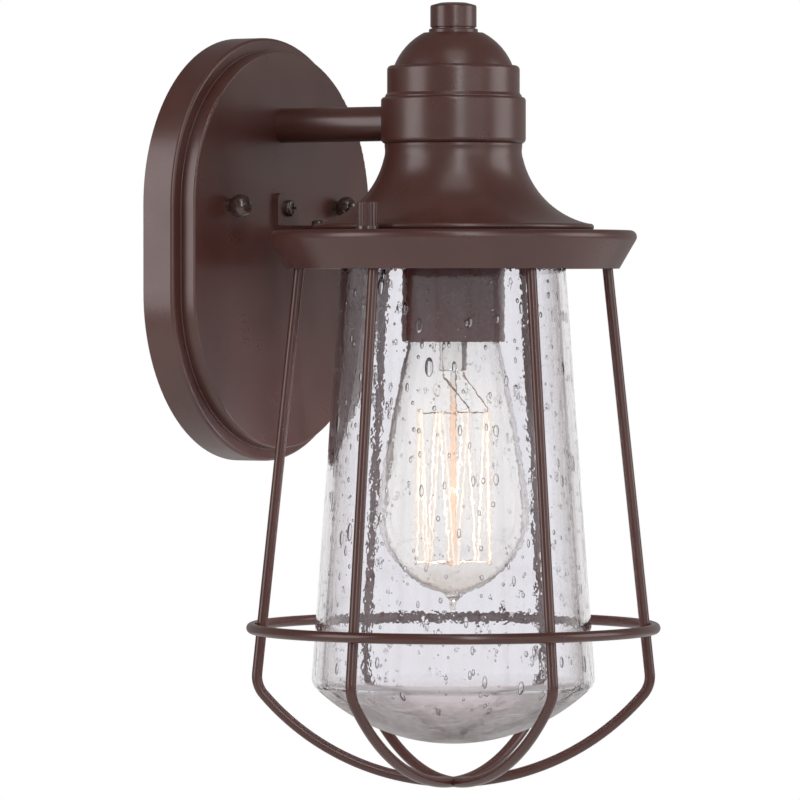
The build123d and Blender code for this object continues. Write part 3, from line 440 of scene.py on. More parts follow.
# Clear finishes: the rim colours are painted shade, darkening the glass where it is seen edge on as if it
# showed darker surroundings; the low colours show below their top height.
# Heights and fades are millimetres, measured from the pan's edge.
glassFinishes = {
    "seededGlass": {
        "colour": (0.90, 0.895, 0.925), "streak": (0.88, 0.87, 0.895), "streakScale": 300.0,
        "shadow": (0.97, 0.97, 0.98), "ior": 1.50,
        "rim": (0.60, 0.565, 0.565), "rimStreak": (0.42, 0.385, 0.38), "rimFrom": 0.34, "rimTo": 0.62,
        # the dome's colours below the shoulder are painted shade: the darker surroundings seen through it
        "cloud": (0.82, 0.74, 0.75), "lowTintDeep": (0.78, 0.695, 0.70), "cloudTop": -180.0, "cloudFade": 5.0,
        "wave": 75.0, "dimple": 430.0, "dimples": 0.30, "stretch": 0.3, "depth": 0.00012, "swirl": 1.5,
        "haze": 0.30,
    },
    "lampGlass": {
        "colour": (0.985, 0.985, 0.965), "streak": (0.97, 0.97, 0.955), "streakScale": 160.0,
        "shadow": (0.97, 0.97, 0.97), "ior": 1.45,
        "rim": (0.36, 0.30, 0.28), "rimStreak": (0.26, 0.215, 0.20), "rimFrom": 0.58, "rimTo": 0.90,
        # the bulb is darker and warmer below its top height
        "cloud": (0.90, 0.875, 0.82), "lowTintDeep": (0.78, 0.735, 0.67), "cloudTop": -126.0,
        "cloudFade": 12.0,
        "wave": 45.0, "dimple": 150.0, "dimples": 0.05, "stretch": 0.5, "depth": 0.00006,
        # a painted glow on the bulb's glass around the filament's height
        "paintedGlow": (1.0, 0.94, 0.86), "paintedGlowStrength": 0.035, "paintedGlowTop": -30.0, "paintedGlowFade": 30.0,
    },
    "stemGlass": {
        "colour": (0.93, 0.93, 0.91), "streak": (0.90, 0.88, 0.86), "streakScale": 500.0,
        "shadow": (0.95, 0.95, 0.95), "ior": 1.45,
        "rim": (0.50, 0.40, 0.36), "rimStreak": (0.36, 0.24, 0.20), "rimFrom": 0.45, "rimTo": 0.95,
        # the stem's colours below its top height are a painted warm glow from the filament
        "cloud": (0.93, 0.76, 0.62), "lowTintDeep": (0.86, 0.62, 0.46), "cloudTop": -45.0, "cloudFade": 12.0,
        "wave": 200.0, "dimple": 500.0, "dimples": 0.1, "stretch": 0.3, "depth": 0.00008,
        # a painted warm glow on the stem
        "paintedGlow": (1.0, 0.55, 0.30), "paintedGlowStrength": 0.13, "paintedGlowTop": -46.0, "paintedGlowFade": 20.0,
    },
    "seedAir": {
        "colour": (1.0, 1.0, 1.0), "streak": (1.0, 1.0, 1.0), "streakScale": 300.0,
        "shadow": (1.0, 1.0, 1.0), "ior": 0.80,
        # the seeds' dark rims are painted shade, standing in for darker surroundings
        "rim": (0.20, 0.18, 0.19), "rimStreak": (0.30, 0.28, 0.29), "rimFrom": 0.12, "rimTo": 0.42,
        "cloud": (1.0, 1.0, 1.0), "lowTintDeep": (0.97, 0.96, 0.96), "cloudTop": -180.0, "cloudFade": 5.0,
        "wave": 500.0, "dimple": 900.0, "dimples": 0.05, "stretch": 1.0, "depth": 0.00001,
    },
}


def clearFinish(name, sizes):
    material, tree, place = newMaterial(name)
    waves = {
        "Vector": place,
        "Wave Scale": sizes["wave"],
        "Dimple Scale": sizes["dimple"],
        "Dimples": sizes["dimples"],
        "Stretch": sizes["stretch"],
    }
    ripple = addNode(tree, "ShaderNodeGroup", waves, node_tree=glassRipple).outputs["Height"]
    inside = {
        "Vector": place,
        "Streak Scale": sizes["streakScale"],
        "Low Top": panEdge + sizes["cloudTop"] * mm,
        "Low Fade": sizes["cloudFade"] * mm,
    }
    body = addNode(tree, "ShaderNodeGroup", inside, node_tree=glassBody).outputs
    swirlDepth = mathNode(tree, "MULTIPLY", body["Clouds"], sizes.get("swirl", 0.0))
    folds = mathNode(tree, "MULTIPLY", body["Swirl"], swirlDepth)
    relief = {"Strength": 1.0, "Distance": sizes["depth"], "Height": mathNode(tree, "ADD", ripple, folds)}
    facing = addNode(tree, "ShaderNodeLayerWeight", {"Blend": 0.5}).outputs["Facing"]
    # painted shade: a darker colour where the glass is seen edge on, standing in for darker surroundings seen
    # in it
    rim = smoothRange(tree, facing, sizes["rimFrom"], sizes["rimTo"])
    middle = mixColour(tree, body["Streaks"], colourOf(sizes["colour"]), colourOf(sizes["streak"]))
    edge = mixColour(tree, body["Streaks"], colourOf(sizes["rim"]), colourOf(sizes["rimStreak"]))
    # the colours below a height: painted shade in the shade's dome, a painted glow in the stem, and a darker,
    # warmer bulb foot
    lowColour = mixColour(tree, body["Swirl"], colourOf(sizes["cloud"]), colourOf(sizes["lowTintDeep"]))
    middle = mixColour(tree, body["Clouds"], middle, lowColour)
    looks = {
        "Base Color": mixColour(tree, rim, middle, edge),
        "Roughness": mathNode(tree, "MULTIPLY", body["Clouds"], sizes.get("haze", 0.0)),
        "IOR": sizes["ior"],
        "Transmission Weight": 1.0,
        "Normal": addNode(tree, "ShaderNodeBump", relief).outputs["Normal"],
    }
    shader = addNode(tree, "ShaderNodeBsdfPrincipled", looks)
    # a painted glow: the glass shines near the filament though it is no lamp
    if "paintedGlow" in sizes:
        height = addNode(tree, "ShaderNodeSeparateXYZ", {0: place}).outputs[2]
        top = panEdge + sizes["paintedGlowTop"] * mm
        share = smoothRange(tree, height, top, top - sizes["paintedGlowFade"] * mm)
        paintedGlow = mixColour(tree, share, colourOf((0.0, 0.0, 0.0)), colourOf(sizes["paintedGlow"]))
        tree.links.new(paintedGlow, shader.inputs["Emission Color"])
        shader.inputs["Emission Strength"].default_value = sizes["paintedGlowStrength"]
    clear = addNode(tree, "ShaderNodeBsdfTransparent", {"Color": colourOf(sizes["shadow"])})
    isShadow = addNode(tree, "ShaderNodeLightPath").outputs["Is Shadow Ray"]
    both = {0: isShadow, 1: shader.outputs[0], 2: clear.outputs[0]}
    setSurface(tree, addNode(tree, "ShaderNodeMixShader", both))
    return material


materials.update({name: clearFinish(name, sizes) for name, sizes in glassFinishes.items()})


# The filament glows weakly, and a faint halo surrounds it: a painted glow on a see-through tube.
wireGlow = {"colour": (1.0, 0.93, 0.84), "strength": 1.0, "patch": 90.0, "metal": (0.3, 0.2, 0.12)}
wireHalo = {"colour": (1.0, 0.84, 0.73), "strength": 1.0, "patch": 60.0, "veil": 0.30, "fadeTo": 0.9}


def glowFinish(name):
    material, tree, place = newMaterial(name)
    colour = wireGlow["colour"]
    hotter = [min(1.0, c * 1.15 + 0.03) for c in colour]
    looks = {
        "Base Color": colourOf(wireGlow["metal"]),
        "Roughness": 0.5,
        "Emission Color": patchyColour(tree, place, colour, hotter, wireGlow["patch"]),
        "Emission Strength": wireGlow["strength"],
    }
    setSurface(tree, addNode(tree, "ShaderNodeBsdfPrincipled", looks))
    return material


def haloFinish(name):
    # a painted glow round the filament: a veil that is thickest where it is looked through square on and ends
    # before its edge
    material, tree, place = newMaterial(name)
    colour = wireHalo["colour"]
    brighter = [min(1.0, c * 1.1) for c in colour]
    facing = addNode(tree, "ShaderNodeLayerWeight", {"Blend": 0.5}).outputs["Facing"]
    looks = {
        "Base Color": colourOf((0.0, 0.0, 0.0)),
        "Roughness": 1.0,
        "Specular IOR Level": 0.0,
        "Alpha": smoothRange(tree, facing, 0.0, wireHalo["fadeTo"], wireHalo["veil"], 0.0),
        "Emission Color": patchyColour(tree, place, colour, brighter, wireHalo["patch"]),
        "Emission Strength": wireHalo["strength"],
    }
    setSurface(tree, addNode(tree, "ShaderNodeBsdfPrincipled", looks))
    return material


materials["glowingFilament"] = glowFinish("glowingFilament")
materials["filamentHalo"] = haloFinish("filamentHalo")
print("finishes made:", len(materials))

# The frame's own pieces keep their shape and take a finish by their slot.
slotFinish = {
    "bronze_paint": "bronzePaint",
    "bronze_fastener": "bronzeFastener",
    "plated_steel": "zincPlate",
    "green_steel": "greenPlate",
    "gasket_rubber": "gasketRubber",
    "seeded_glass": "seededGlass",
    "lamp_clear_glass": "lampGlass",
    "lamp_black_glass": "blackGlass",
    "porcelain": "porcelain",
    "socket_brass": "socketBrass",
    "solder": "solder",
    "support_wire": "supportWire",
    "glowing_filament": "glowingFilament",
    "black_insulation": "blackInsulation",
    "white_insulation": "whiteInsulation",
    "green_insulation": "greenInsulation",
}
nodeFinish = {  # these nodes differ from the rest of their slot
    # the cup's paint carries painted light
    "socket_cup": "cupPaintWithPaintedLight",
    "cage_ring": "wirePaint",
    "lamp_stem": "stemGlass",
    "lamp_cap": "lampCapMetal",
    "thumb_nut_left": "bronzePaint",
    "thumb_nut_right": "bronzePaint",
}
for nodeName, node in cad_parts.items():
    slotName = node.data.materials[0].name.split(".")[0]
    node.data.materials[0] = materials[nodeFinish.get(nodeName, slotFinish[slotName])]
print("frame pieces finished")


# Glass shade, in millimetres; the taper is the slope of its wall and the drop is below the pan's edge
shade = {
    "topRadius": 48.2, "taper": 0.072, "drop": 203.4, "wall": 3.0, "domeRadius": 85.0, "shoulder": 6.0,
    "lipRadius": 53.0, "lipTop": 14.2, "lipDepth": 3.0, "lipRound": 0.9, "segments": 192,
}


def shadeSide(inset, top, fillSteps=(22, 10, 14)):
    # from the middle of the bottom, out along the dome, round the shoulder and up the wall
    slope = shade["taper"]
    length = sqrt(1 + slope**2)
    dome = shade["domeRadius"] - inset
    middle = shade["domeRadius"] - shade["drop"]
    corner = shade["shoulder"] - inset
    # the shoulder's centre lies one corner radius inside both the wall's line and the dome
    reach = shade["topRadius"] - inset - corner * length
    b = reach * slope + middle
    c = reach**2 + middle**2 - (dome - corner) ** 2
    height = (b - sqrt(b**2 - (1 + slope**2) * c)) / (1 + slope**2)
    centre = (reach - slope * height, height)
    domeAngle = atan2(centre[1] - middle, centre[0])
    points = arcPoints((0, middle), dome, -pi / 2, domeAngle, fillSteps[0])
    points[0] = (0.0, middle - dome)
    points += arcPoints(centre, corner, domeAngle, atan(slope), fillSteps[1])[1:]
    start = points[-1]
    end = (shade["topRadius"] - slope * top - inset, top)
    for i in range(1, fillSteps[2] + 1):
        points.append(tuple(start[k] + (end[k] - start[k]) * i / fillSteps[2] for k in (0, 1)))
    return points


def makeShade():
    lipBase = shade["lipTop"] - shade["lipDepth"]
    outside = shadeSide(0, lipBase)
    rounding = shade["lipRound"]
    lipIn = shade["lipRadius"] - rounding
    outside += arcPoints((lipIn, lipBase + rounding), rounding, -pi / 2, 0, 5)
    outside += arcPoints((lipIn, shade["lipTop"] - rounding), rounding, 0, pi / 2, 5)
    inside = shadeSide(shade["wall"], shade["lipTop"])
    return turnedPiece("shadeGlass", outside + inside[::-1], shade["segments"], 50)


shadeGlass = dressPiece(makeShade(), materials["seededGlass"], "cage", "seeded_glass", "glass_shade")
print("glass shade made:", len(shadeGlass.data.polygons), "faces")

# Seeds, the small bubbles inside the shade's wall; a kind has its number in a square metre, its least and
# most half size across, up and through the wall in millimetres, and its detail
seeds = {
    "seed": 11, "skew": 1.7, "top": 4.0, "rows": (16, 6, 24), "segments": 96,
    "kinds": {
        "Fine": (8000.0, (0.28, 0.32, 0.22), (0.50, 0.65, 0.36), 1),
        "Round": (6500.0, (0.50, 0.60, 0.40), (0.95, 1.35, 0.65), 2),
        "Tall": (4000.0, (0.62, 1.3, 0.45), (1.15, 3.0, 0.80), 2),
        "Large": (560.0, (1.2, 2.4, 0.70), (2.0, 4.6, 1.10), 3),
    },
}


def buildSeedTree():
    inputs = {"Geometry": ("Geometry", None)}
    inputs.update({kind + " Density": ("Float", 1000.0) for kind in seeds["kinds"]})
    inputs.update({"Skew": ("Float", 1.0), "Seed": ("Int", 1)})
    tree, given = newGroup("glassSeeds", "GeometryNodeTree", inputs, {"Geometry": "Geometry"})
    grown = []
    for index, (kind, (_, least, most, detail)) in enumerate(seeds["kinds"].items()):
        seedValue = mathNode(tree, "ADD", given["Seed"], float(index * 7))
        spread = addNode(
            tree,
            "GeometryNodeDistributePointsOnFaces",
            {"Mesh": given["Geometry"], "Density": given[kind + " Density"], "Seed": seedValue},
            distribute_method="RANDOM",
        )
        facing = {"Vector": spread.outputs["Normal"]}
        outward = addNode(tree, "FunctionNodeAlignRotationToVector", facing, axis="Z")
        upright = addNode(
            tree,
            "FunctionNodeAlignRotationToVector",
            {"Rotation": outward.outputs[0], "Vector": (0.0, 0.0, 1.0)},
            axis="Y",
            pivot_axis="Z",
        )
        limits = {2: 0.0, 3: 1.0, "Seed": seedValue}
        share = addNode(tree, "FunctionNodeRandomValue", limits, data_type="FLOAT").outputs[1]
        skewed = mathNode(tree, "POWER", share, given["Skew"])
        sizes = {0: skewed, 4: tuple(v * mm for v in least), 5: tuple(v * mm for v in most)}
        ball = addNode(tree, "GeometryNodeMeshIcoSphere", {"Radius": 1.0, "Subdivisions": detail})
        values = {
            "Points": spread.outputs["Points"],
            "Instance": ball.outputs["Mesh"],
            "Rotation": upright.outputs[0],
            "Scale": addNode(tree, "ShaderNodeMix", sizes, data_type="VECTOR").outputs[1],
        }
        grown.append(addNode(tree, "GeometryNodeInstanceOnPoints", values).outputs[0])
    joined = addNode(tree, "GeometryNodeJoinGeometry")
    for instances in reversed(grown):
        tree.links.new(instances, joined.inputs[0])
    realOutput(tree, joined.outputs[0], materials["seedAir"])
    return tree


seedOutline = shadeSide(shade["wall"] / 2, seeds["top"], seeds["rows"])
seedSurface = turnedPiece("shadeSeeds", seedOutline, seeds["segments"], closed=False)
seedValues = {kind + " Density": row[0] for kind, row in seeds["kinds"].items()}
seedValues.update({"Skew": seeds["skew"], "Seed": seeds["seed"]})
shadeSeeds = grownPiece(seedSurface, buildSeedTree(), seedValues)
dressPiece(shadeSeeds, None, "cage", "seeded_glass")
print("seeds made:", len(shadeSeeds.data.polygons), "faces")

# Wire cage, in millimetres: its bars lean outwards, bend in at the foot and meet in one bow
cage = {
    "wireRadius": 2.25, "bars": 6, "firstAngle": 32.0, "topRadius": 66.0, "lean": 0.1046, "bow": 106.9,
    "bend": 12.0, "bottom": 220.0, "ringDrop": 153.8, "sides": 20,
}


def barPath():
    # radius and height along one bar's middle line, from the top ring to the bottom
    top = (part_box("cage_top_ring")[0].z - panEdge) / mm
    lean = atan(cage["lean"])
    down, inward = Vector((sin(lean), -cos(lean))), Vector((-cos(lean), -sin(lean)))
    start = Vector((cage["topRadius"] - cage["lean"] * top, top))
    bowCentre = Vector((0.0, cage["bow"] - cage["bottom"]))
    offset = start + inward * cage["bend"] - bowCentre
    along = offset.dot(down)
    leg = sqrt((cage["bow"] - cage["bend"]) ** 2 - offset.dot(offset) + along**2) - along
    legEnd = start + down * leg
    bendCentre = legEnd + inward * cage["bend"]
    toBend = (bendCentre - bowCentre).normalized()
    firstTurn = atan2(-inward.y, -inward.x)
    lastTurn = atan2(toBend.y, toBend.x)
    points = [tuple(start + down * leg * i / 12) for i in range(13)]
    points += arcPoints(bendCentre, cage["bend"], firstTurn, lastTurn, 10)[1:]
    points += arcPoints(bowCentre, cage["bow"], lastTurn, -pi / 2, 26)[1:]
    return points


def pathObject(name, paths):
    build = bmesh.new()
    for path in paths:
        corners = [build.verts.new(point) for point in path]
        for first, second in zip(corners, corners[1:]):
            build.edges.new((first, second))
    return meshObject(name, build, smooth=False)


def buildWireTree():
    # a round wire along every path of the mesh, with its corners bent, and its copies round an upright axis
    tree, given = newGroup(
        "bentWire",
        "GeometryNodeTree",
        {
            "Geometry": ("Geometry", None),
            "Radius": ("Float", 0.001),
            "Bend Radius": ("Float", 0.0),
            "Sides": ("Int", 12),
            "Copies": ("Int", 1),
            "Centre": ("Vector", None),
            "Material": ("Material", None),
        },
        {"Geometry": "Geometry"},
    )
    line = addNode(tree, "GeometryNodeMeshToCurve", {"Mesh": given["Geometry"]}).outputs[0]
    corners = {"Curve": line, "Radius": given["Bend Radius"], "Count": 5, "Limit Radius": True}
    bent = addNode(tree, "GeometryNodeFilletCurve", corners, mode="POLY").outputs[0]
    circle = {"Resolution": given["Sides"], "Radius": given["Radius"]}
    section = addNode(tree, "GeometryNodeCurvePrimitiveCircle", circle).outputs[0]
    sweep = {"Curve": bent, "Profile Curve": section, "Fill Caps": True}
    wire = addNode(tree, "GeometryNodeCurveToMesh", sweep).outputs[0]
    spots = addNode(tree, "GeometryNodePoints", {"Count": given["Copies"]}).outputs[0]
    place = {"Geometry": spots, "Position": given["Centre"]}
    number = addNode(tree, "GeometryNodeInputIndex").outputs[0]
    angle = mathNode(tree, "MULTIPLY", number, mathNode(tree, "DIVIDE", 2 * pi, given["Copies"]))
    away = {0: given["Centre"], 1: (-1.0, -1.0, -1.0)}
    back = addNode(tree, "ShaderNodeVectorMath", away, operation="MULTIPLY").outputs[0]
    move = {"Geometry": wire, "Translation": back}
    values = {
        "Points": addNode(tree, "GeometryNodeSetPosition", place).outputs[0],
        "Instance": addNode(tree, "GeometryNodeTransform", move).outputs[0],
        "Rotation": addNode(tree, "ShaderNodeCombineXYZ", {2: angle}).outputs[0],
    }
    copies = addNode(tree, "GeometryNodeInstanceOnPoints", values).outputs[0]
    realOutput(tree, copies, given["Material"])
    return tree


wireTree = buildWireTree()
firstBar = [axisPoint(radius, height, cage["firstAngle"]) for radius, height in barPath()]
cageBars = grownPiece(
    pathObject("cageBars", [firstBar]),
    wireTree,
    {
        "Radius": cage["wireRadius"] * mm,
        "Sides": cage["sides"],
        "Copies": cage["bars"],
        "Centre": (axisX, axisY, 0.0),
        "Material": materials["wirePaint"],
    },
)
barNodes = [f"cage_bar_{i + 1}" for i in range(cage["bars"])]
dressPiece(cageBars, None, "cage", "bronze_paint", *barNodes)
print("cage made:", len(cageBars.data.polygons), "faces")

# Weld beads above and below each joint of the ring and a bar, in millimetres
welds = {"bead": 1.25, "rise": 2.1, "least": (0.8, 0.8, 0.6), "most": (1.25, 1.25, 0.9), "seed": 4}


def buildWeldTree():
    tree, given = newGroup(
        "weldBeads",
        "GeometryNodeTree",
        {
            "Geometry": ("Geometry", None),
            "Bead Radius": ("Float", 0.001),
            "Least Size": ("Vector", (1.0, 1.0, 1.0)),
            "Most Size": ("Vector", (1.0, 1.0, 1.0)),
            "Seed": ("Int", 1),
            "Material": ("Material", None),
        },
        {"Geometry": "Geometry"},
    )
    limits = {0: given["Least Size"], 1: given["Most Size"], "Seed": given["Seed"]}
    ball = {"Radius": given["Bead Radius"], "Subdivisions": 3}
    values = {
        "Points": addNode(tree, "GeometryNodeMeshToPoints", {"Mesh": given["Geometry"]}).outputs[0],
        "Instance": addNode(tree, "GeometryNodeMeshIcoSphere", ball).outputs["Mesh"],
        "Scale": addNode(tree, "FunctionNodeRandomValue", limits, data_type="FLOAT_VECTOR").outputs[0],
    }
    beads = addNode(tree, "GeometryNodeInstanceOnPoints", values).outputs[0]
    realOutput(tree, beads, given["Material"])
    return tree


def weldSpots():
    build = bmesh.new()
    joint = cage["topRadius"] + cage["lean"] * cage["ringDrop"] + cage["wireRadius"]
    for bar in range(cage["bars"]):
        for side in (-1, 1):
            angle = cage["firstAngle"] + bar * 360 / cage["bars"]
            build.verts.new(axisPoint(joint, -cage["ringDrop"] + side * welds["rise"] / 2, angle))
    return meshObject("cageWelds", build, smooth=False)


cageWelds = grownPiece(
    weldSpots(),
    buildWeldTree(),
    {
        "Bead Radius": welds["bead"] * mm,
        "Least Size": welds["least"],
        "Most Size": welds["most"],
        "Seed": welds["seed"],
        "Material": materials["wirePaint"],
    },
)
dressPiece(cageWelds, None, "cage", "bronze_paint")
print("welds made:", len(cageWelds.data.polygons), "faces")

# Lamp bulb: a thin blown shell that ends in a drawn-off pip
bulb = {  # millimetres; each drop is below the pan's edge
    "neckRadius": 12.45, "neckTop": -20.8, "neckFoot": -23.8, "shoulderRadius": 19.5, "shoulderDrop": 31.3,
    "shoulderLean": 0.22, "radius": 32.5, "widestDrop": 105.5, "drop": 139.6, "wall": 0.9, "segments": 144,
    "coneRadius": 6.6, "coneDepth": 4.2, "pipDrop": 146.4, "pipRadius": 1.5,
}


def bulbSide(inset):
    # from the neck down to the middle of the bottom
    lean = Vector((bulb["shoulderLean"], -1.0)).normalized()
    neck = (bulb["neckRadius"] - inset, bulb["neckFoot"])
    shoulder = (bulb["shoulderRadius"] - inset, -bulb["shoulderDrop"])
    widest = (bulb["radius"] - inset, -bulb["widestDrop"])
    bottom = (0.0, -bulb["drop"] + inset)

    def run(start, end, startWay, endWay, startPull, endPull, steps):
        # the pulls say how far the curve keeps to the way it leaves and the way it arrives
        length = (Vector(end) - Vector(start)).length
        leaving = Vector(startWay) * length * startPull
        arriving = Vector(endWay) * length * endPull
        return curvePoints(start, end, leaving, arriving, steps)

    points = [(neck[0], bulb["neckTop"])]
    points += run(neck, shoulder, (0, -1), lean, 1.0, 1.0, 8)
    points += run(shoulder, widest, lean, (0, -1), 1.0, 0.45, 26)[1:]
    points += run(widest, bottom, (0, -1), (-1, 0), 1.15, 0.9, 30)[1:]
    return points


def makeBulb():
    outside = [point for point in bulbSide(0) if point[0] > bulb["coneRadius"]]
    pip, foot = bulb["pipRadius"], -bulb["pipDrop"]
    cone = (pip * 0.8, -bulb["drop"] - bulb["coneDepth"])
    outside += curvePoints(outside[-1], cone, (-7.5, -0.8), (-1.2, -6.0), 10)[1:]
    outside += [(pip, cone[1] - 0.8), (pip, cone[1] - 1.5)]
    outside += [(pip * 0.75, foot + 0.25), (pip * 0.35, foot), (0.0, foot)]
    inside = bulbSide(bulb["wall"])
    return turnedPiece("lampBulb", outside[::-1] + inside, bulb["segments"], 60)


lampBulb = dressPiece(makeBulb(), materials["lampGlass"], "lamp", "lamp_clear_glass", "lamp_glass")
print("bulb made:", len(lampBulb.data.polygons), "faces")

# Filament, strung up and down between two spiders of thin wire
filament = {  # millimetres and degrees; each drop is below the pan's edge
    "hookRadius": 15.6, "upperDrop": 61.4, "lowerDrop": 126.2, "firstAngle": 14.0, "pairs": 8,
    "loopWidth": 1.7, "endRise": 0.3,
}
supports = {  # the thin wires on the lamp's stem, in millimetres and degrees
    "mast": 1.4, "button": 3.0, "root": 0.2, "level": 0.5, "stemDrop": 44.35,
    "leadSpread": 4.5, "leadAngle": 31.0, "leadDrop": 1.6, "leadRise": 1.2,
}
hookShape = [(-0.6, 0.0), (0.5, 0.0), (0.6, 1.1), (-0.2, 1.2)]  # out from the hooks' radius, and up or down
wires = {  # radius, radius of the bends and number of sides
    "filament": (0.32, 0.7, 10), "halo": (1.9, 0.0, 12), "hook": (0.28, 0.5, 8), "lead": (0.336, 1.0, 8),
}


def hookAngles():
    step = 360 / filament["pairs"]
    upper = [filament["firstAngle"] + i * step for i in range(filament["pairs"])]
    return upper, [angle + step / 2 for angle in upper[:-1]]


def strandPath():
    upper, lower = hookAngles()
    loop = filament["loopWidth"] / filament["hookRadius"] * 90 / pi
    reach = filament["hookRadius"]
    path = [axisPoint(reach, -filament["upperDrop"] + filament["endRise"], upper[0])]
    for high, low in zip(upper[1:], lower):
        for angle, height in ((low, -filament["lowerDrop"]), (high, -filament["upperDrop"])):
            path += [axisPoint(reach, height, angle - loop), axisPoint(reach, height, angle + loop)]
    return path[:-1]


def spiderPaths():
    # each arm runs out from the mast and ends in a small hook that holds a turn of the filament
    upper, lower = hookAngles()
    spiders = (
        (upper[1:-1], filament["upperDrop"], supports["mast"], 1),
        (lower, filament["lowerDrop"], supports["button"], -1),
    )
    paths = []
    for angles, drop, start, side in spiders:
        level = -drop - side * supports["level"]
        for angle in angles:
            path = [axisPoint(start - supports["root"], level, angle)]
            for out, rise in hookShape:
                path.append(axisPoint(filament["hookRadius"] + out, level + side * rise, angle))
            paths.append(path)
    return paths


def leadPaths():
    upper = hookAngles()[0]
    firstAngle = supports["leadAngle"]
    paths = []
    for startAngle, endAngle in ((firstAngle, upper[0]), (firstAngle + 180, upper[-1])):
        start = axisPoint(supports["leadSpread"], -supports["stemDrop"], startAngle)
        end = axisPoint(filament["hookRadius"], -filament["upperDrop"] + filament["endRise"], endAngle)
        below = start + Vector((0, 0, -supports["leadDrop"] * mm))
        above = end + Vector((0, 0, supports["leadRise"] * mm))
        paths.append([start, below, above, end])
    return paths


def thinWire(name, paths, kind, material, *replaced):
    radius, bend, sides = wires[kind]
    values = {
        "Radius": radius * mm,
        "Bend Radius": bend * mm,
        "Sides": sides,
        "Copies": 1,
        "Centre": (0.0, 0.0, 0.0),
        "Material": materials[material],
    }
    piece = grownPiece(pathObject(name, paths), wireTree, values)
    slotName = "support_wire" if material == "supportWire" else "glowing_filament"
    return dressPiece(piece, None, "lamp", slotName, *replaced)


strands = [strandPath()]
glowingWire = thinWire("glowingWire", strands, "filament", "glowingFilament", "filament")
filamentHalo = thinWire("filamentHalo", strands, "halo", "filamentHalo")
thinWire("spiderHooks", spiderPaths(), "hook", "supportWire", "spider_wires")
thinWire("lampWires", leadPaths(), "lead", "supportWire", "lamp_leads")
print("filament strung:", len(glowingWire.data.polygons), "faces")

# Rolled thread of the lamp's cap
thread = {  # millimetres; the thread fades out above the plain foot and below the crown
    "depth": 1.1, "pitch": 3.63, "wall": 0.35, "plain": 3.0, "crown": 4.2, "crownRadius": 9.2, "fade": 2.0,
    "segments": 96, "rows": 120,
}


def makeThread():
    # up the outside and down the inside of a thin shell whose radius waves along a helix
    low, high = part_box("lamp_cap")
    radius = (high.x - low.x) / 2 / mm
    foot, top = (low.z - panEdge) / mm, (high.z - panEdge) / mm
    build = bmesh.new()
    rows = []
    count = thread["rows"]
    for side in (0, 1):
        for i in range(count + 1):
            share = i / count if side == 0 else 1 - i / count
            height = foot + (top - foot) * share
            lowerFade = (height - foot - thread["plain"]) / thread["fade"]
            upperFade = (top - thread["crown"] - height) / thread["fade"]
            fade = min(1.0, max(0.0, lowerFade), max(0.0, upperFade))
            over = max(0.0, (height - top + thread["crown"]) / thread["crown"])
            crest = radius - (radius - thread["crownRadius"]) * (1 - sqrt(max(0.0, 1 - over**2)))
            ring = []
            for k in range(thread["segments"]):
                turn = 360 * k / thread["segments"]
                wave = 0.5 - 0.5 * cos(2 * pi * (height / thread["pitch"] - turn / 360))
                size = crest - (thread["depth"] * wave * fade + side * thread["wall"])
                ring.append(build.verts.new(axisPoint(size, height, turn)))
            rows.append(ring)
    for lower, upper in zip(rows, rows[1:] + rows[:1]):
        for k in range(thread["segments"]):
            n = (k + 1) % thread["segments"]
            build.faces.new((lower[k], lower[n], upper[n], upper[k]))
    if build.calc_volume(signed=True) < 0:
        bmesh.ops.reverse_faces(build, faces=build.faces[:])
    return meshObject("lampThread", build, 50)


lampThread = dressPiece(makeThread(), materials["lampCapMetal"], "lamp", "socket_brass", "lamp_cap")
print("thread rolled:", len(lampThread.data.polygons), "faces")

# Staging: a pale floor, soft lamps and the camera, in metres and degrees
stage = {"floorRadius": 1.5, "floorDrop": 0.30, "floor": (0.88, 0.88, 0.87), "roughness": 0.8, "patch": 3.0}
camera = {  # its height is in millimetres from the pan's edge; turn and tilt centre the lantern in view
    "bearing": -57.5, "distance": 2.604, "height": -8.6, "lens": 273.6, "sensor": 36.0, "near": 0.05,
    "far": 50.0, "turn": 0.503, "tilt": -1.048,
}
lampAim = -0.06  # the height that every lamp points at, in metres from the pan's edge
lamps = {  # bearing, height from the pan's edge, distance, the lamp's own width and length, power, colour
    "keyStrip": (-47.0, 1.0, 2.3, 0.34, 2.4, 19.0, (1.0, 0.98, 0.98)),
    "rightBox": (29.0, 0.55, 2.2, 1.4, 1.6, 18.5, (1.0, 0.98, 0.98)),
    "frontBox": (-22.0, 0.5, 2.4, 1.6, 1.6, 7.0, (1.0, 0.94, 0.93)),
    "leftBox": (-124.0, 0.55, 2.3, 1.3, 2.0, 26.0, (1.0, 0.95, 0.96)),
    "lowBox": (-12.0, -0.9, 2.2, 0.5, 1.0, 2.5, (1.0, 0.97, 0.97)),
    "topBox": (-50.0, 2.0, 1.2, 1.2, 1.2, 6.0, (1.0, 0.98, 0.97)),
}
lampGlow = {"height": -95.0, "radius": 24.0, "power": 0.7, "colour": (0.70, 0.86, 1.0)}  # in millimetres
world = {  # how bright the surroundings are on each kind of surface, and how much less to the left and above
    "light": 0.50, "gloss": 0.38, "sharpFront": 0.30, "sharpBack": 1.15, "sharpSpan": (-0.3, 0.5),
    "leftShade": 0.25, "leftTurn": 20.0, "leftSpan": (-0.1, 0.8), "aboveShade": 0.5, "aboveSpan": (0.05, 0.7),
}


